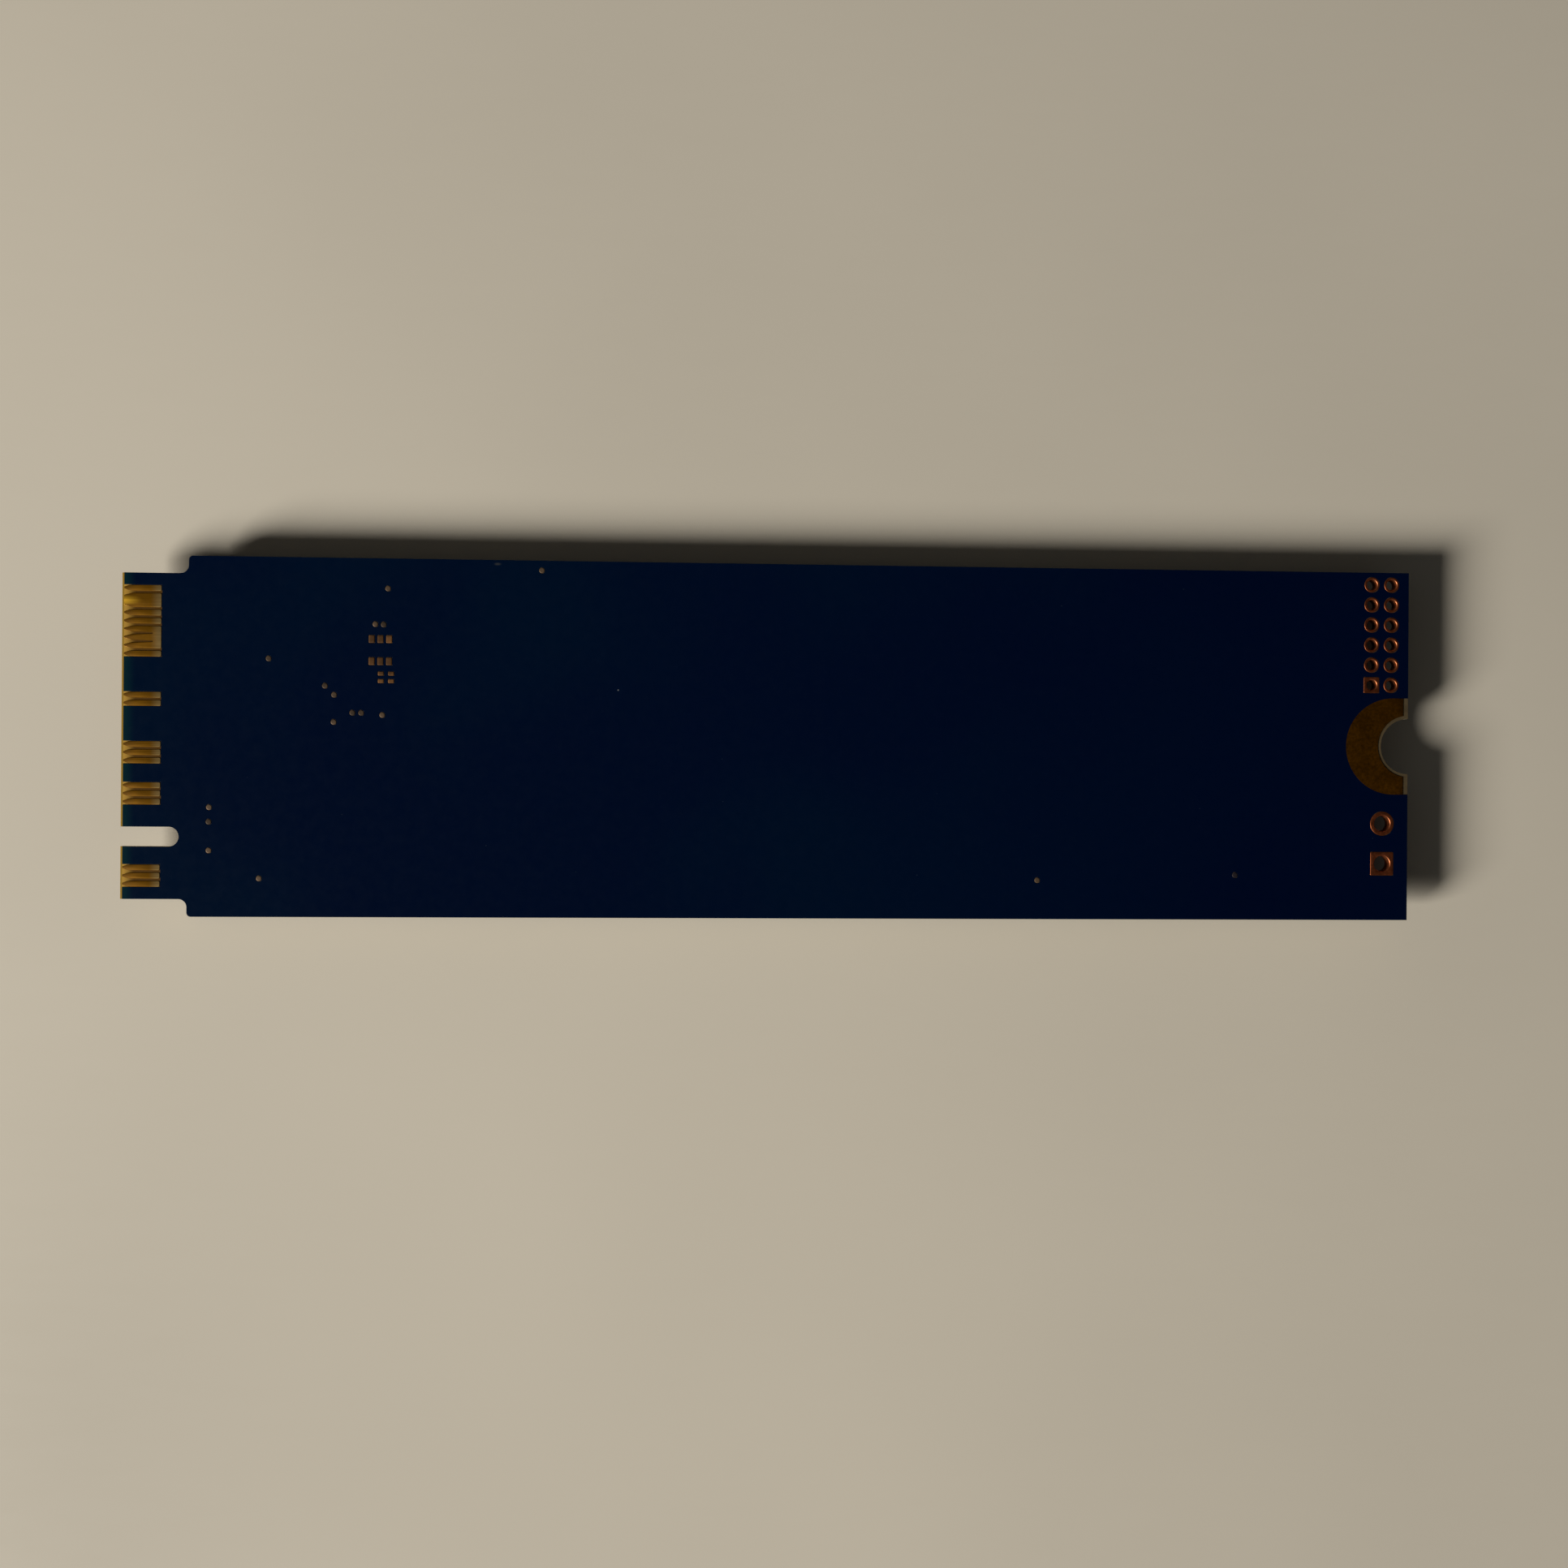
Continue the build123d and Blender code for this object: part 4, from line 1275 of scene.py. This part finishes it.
class MakeChips(bpy.types.Operator):
    """Round the capacitors, resistors and ferrites, and run solder up their end caps"""

    bl_idname = "module.make_chips"
    bl_label = "Chips and solder"

    def execute(self, context):
        chips = settings()[2]
        for name, growth in (
            ("small_capacitor", 1.0), ("large_capacitor", 1.3), ("bulk_capacitor", 1.5),
            ("coupling_capacitor", 0.7), ("ferrite", 1.3), ("resistor", 0.8),
        ):
            rounding = chips.chip_round / MM * growth
            softened_piece(name + "_bodies", rounding * 0.6, chips.steps)
            softened_piece(name + "_ends", rounding, chips.steps)
            if name == "resistor":
                softened_piece("resistor_glaze", 0.008, 1)
            self.make_solder(name, chips.fillet_reach / MM * growth)
        return {"FINISHED"}

    def make_solder(self, name, reach):
        """Solder at the outer side of each end cap; the caps of a family are alike."""
        bodies = [measure(part)[0] for part in loose_parts(name + "_bodies")]
        places = []
        for part in loose_parts(name + "_ends"):
            low, high = extent(part)
            middle, lengths = measure(part)
            away = min((middle - body for body in bodies), key=lambda way: way.xy.length)
            if abs(away.y) > abs(away.x):
                edge, turn = (high.y, math.pi / 2) if away.y > 0 else (low.y, -math.pi / 2)
                places.append((middle.x, edge, high.z, turn))
                width = lengths.x
            else:
                edge, turn = (high.x, 0.0) if away.x > 0 else (low.x, math.pi)
                places.append((edge, middle.y, high.z, turn))
                width = lengths.y
        solder = finish_of("solder")
        one = fillet_mesh(name + "_fillet", width, lengths.z * SOLDER_RISE, reach)
        slip = SOLDER_SLIP, SOLDER_SEED
        mesh = repeated_mesh(name + "_solder", one, places, solder, *slip)
        declare(name + "_solder", mesh, slot="solder")


# Stage


class MakeStage(bpy.types.Operator):
    """Set the floor, the soft light and the camera"""

    bl_idname = "module.make_stage"
    bl_label = "Stage"

    def execute(self, context):
        stage = settings()[3]
        self.make_floor(stage)
        self.make_lamp(stage)
        self.make_world(stage)
        self.make_camera()
        context.scene.view_settings.view_transform = "Standard"
        return {"FINISHED"}

    def make_floor(self, stage):
        """A plain square just under the module, with a wide spot of painted shade towards minus X
        and minus Y.
        """
        reach, below = 2.5, -0.01 * MM
        corners = [(x * reach, y * reach, below) for x, y in ((-1, -1), (1, -1), (1, 1), (-1, 1))]
        mesh = bpy.data.meshes.new("floor")
        mesh.from_pydata(corners, [], [range(4)])
        floor = new_object("floor", mesh)
        colour = stage.floor_colour
        finish = Finish("Pale floor")
        finish.colour = finish.mottle(0.02, 0.3, 0.7, tone(colour, 0.97), tone(colour, 1.03))[0]
        # Painted shade: a wide darker spot on the floor towards minus X and minus Y
        finish.layer(finish.spot(*FLOOR_SHADE_SPOT), tone(colour, 0.36), 0.2)
        finish.grain(0.8, 0.6, 0.75, 0.1, 0.02, (0.25, 1.0, 1.0))
        mesh.materials.append(finish.done(0.0, 0.2))

    def make_lamp(self, stage):
        way = LAMP_WAY.normalized()
        data = bpy.data.lights.new("key", "AREA")
        data.shape = "DISK"
        data.size = stage.lamp_width
        data.energy = stage.lamp_power
        data.color = LAMP_COLOUR
        lamp = new_object("key", data)
        lamp.location = way * stage.lamp_distance
        lamp.rotation_euler = way.to_track_quat("Z", "Y").to_euler()

    def make_world(self, stage):
        """Soft light from a band of the sky; the camera sees a plain tone instead."""
        world = bpy.data.worlds.new("Studio")
        world.use_nodes = True
        tree = world.node_tree
        tree.nodes.clear()
        height = split(tree, put(tree, "ShaderNodeTexCoord").outputs["Generated"])[2]
        fade = ranged(tree, height, *SKY_FADE, stage.fill, SKY_LOW)
        rise = ranged(tree, height, *SKY_RISE, SKY_LOW, 1.0)
        strength = maths(tree, "MULTIPLY", fade, rise)
        shades = [
            put(tree, "ShaderNodeBackground", {"Color": colour, "Strength": power}).outputs[0]
            for colour, power in ((SKY_COLOUR, strength), (BACKDROP_COLOUR, 1.0))
        ]
        seen = put(tree, "ShaderNodeLightPath").outputs["Is Camera Ray"]
        mixed = put(tree, "ShaderNodeMixShader", {0: seen, 1: shades[0], 2: shades[1]})
        put(tree, "ShaderNodeOutputWorld", {"Surface": mixed.outputs[0]})
        bpy.context.scene.world = world

    def make_camera(self):
        data = bpy.data.cameras.new("camera")
        data.lens = CAMERA_LENS
        data.sensor_width = CAMERA_SENSOR
        data.clip_start = 0.001
        data.clip_end = 20.0
        camera = new_object("camera", data)
        turn = Matrix.Rotation(CAMERA_TURN.length, 4, CAMERA_TURN.normalized())
        camera.matrix_world = Matrix.Translation(CAMERA_PLACE * MM) @ turn
        bpy.context.scene.camera = camera


class ModulePanel(bpy.types.Panel):
    """Lists the steps that build the module's surfaces"""

    bl_idname = "VIEW3D_PT_module"
    bl_label = "Storage module"
    bl_space_type = "VIEW_3D"
    bl_region_type = "UI"
    bl_category = "Module"

    def draw(self, context):
        for operator in OPERATORS:
            self.layout.operator(operator.bl_idname)
        for name in SETTINGS:
            group = getattr(context.scene, name)
            box = self.layout.box()
            for key in group.bl_rna.properties.keys():
                if key not in ("rna_type", "name"):
                    box.prop(group, key)


SETTINGS = {
    "board_settings": BoardSettings,
    "package_settings": PackageSettings,
    "chip_settings": ChipSettings,
    "stage_settings": StageSettings,
}
OPERATORS = (
    MakeStage, DressBoard, MakeMasks, MakeContacts, MakeScrewPads, MakeRings, MakePads,
    MakeBallPackages, MakeFlatPackages, MakeChips,
)


def register():
    for group in SETTINGS.values():
        bpy.utils.register_class(group)
    for name, group in SETTINGS.items():
        setattr(bpy.types.Scene, name, PointerProperty(type=group))
    for operator in OPERATORS:
        bpy.utils.register_class(operator)
    bpy.utils.register_class(ModulePanel)


def unregister():
    bpy.utils.unregister_class(ModulePanel)
    for operator in reversed(OPERATORS):
        bpy.utils.unregister_class(operator)
    for name in SETTINGS:
        delattr(bpy.types.Scene, name)
    for group in SETTINGS.values():
        bpy.utils.unregister_class(group)


def main():
    register()
    bpy.ops.module.make_stage()
    bpy.ops.module.dress_board()
    bpy.ops.module.make_masks()
    bpy.ops.module.make_contacts()
    bpy.ops.module.make_screw_pads()
    bpy.ops.module.make_rings()
    bpy.ops.module.make_pads()
    bpy.ops.module.make_ball_packages()
    bpy.ops.module.make_flat_packages()
    bpy.ops.module.make_chips()


if __name__ == "__main__":
    main()
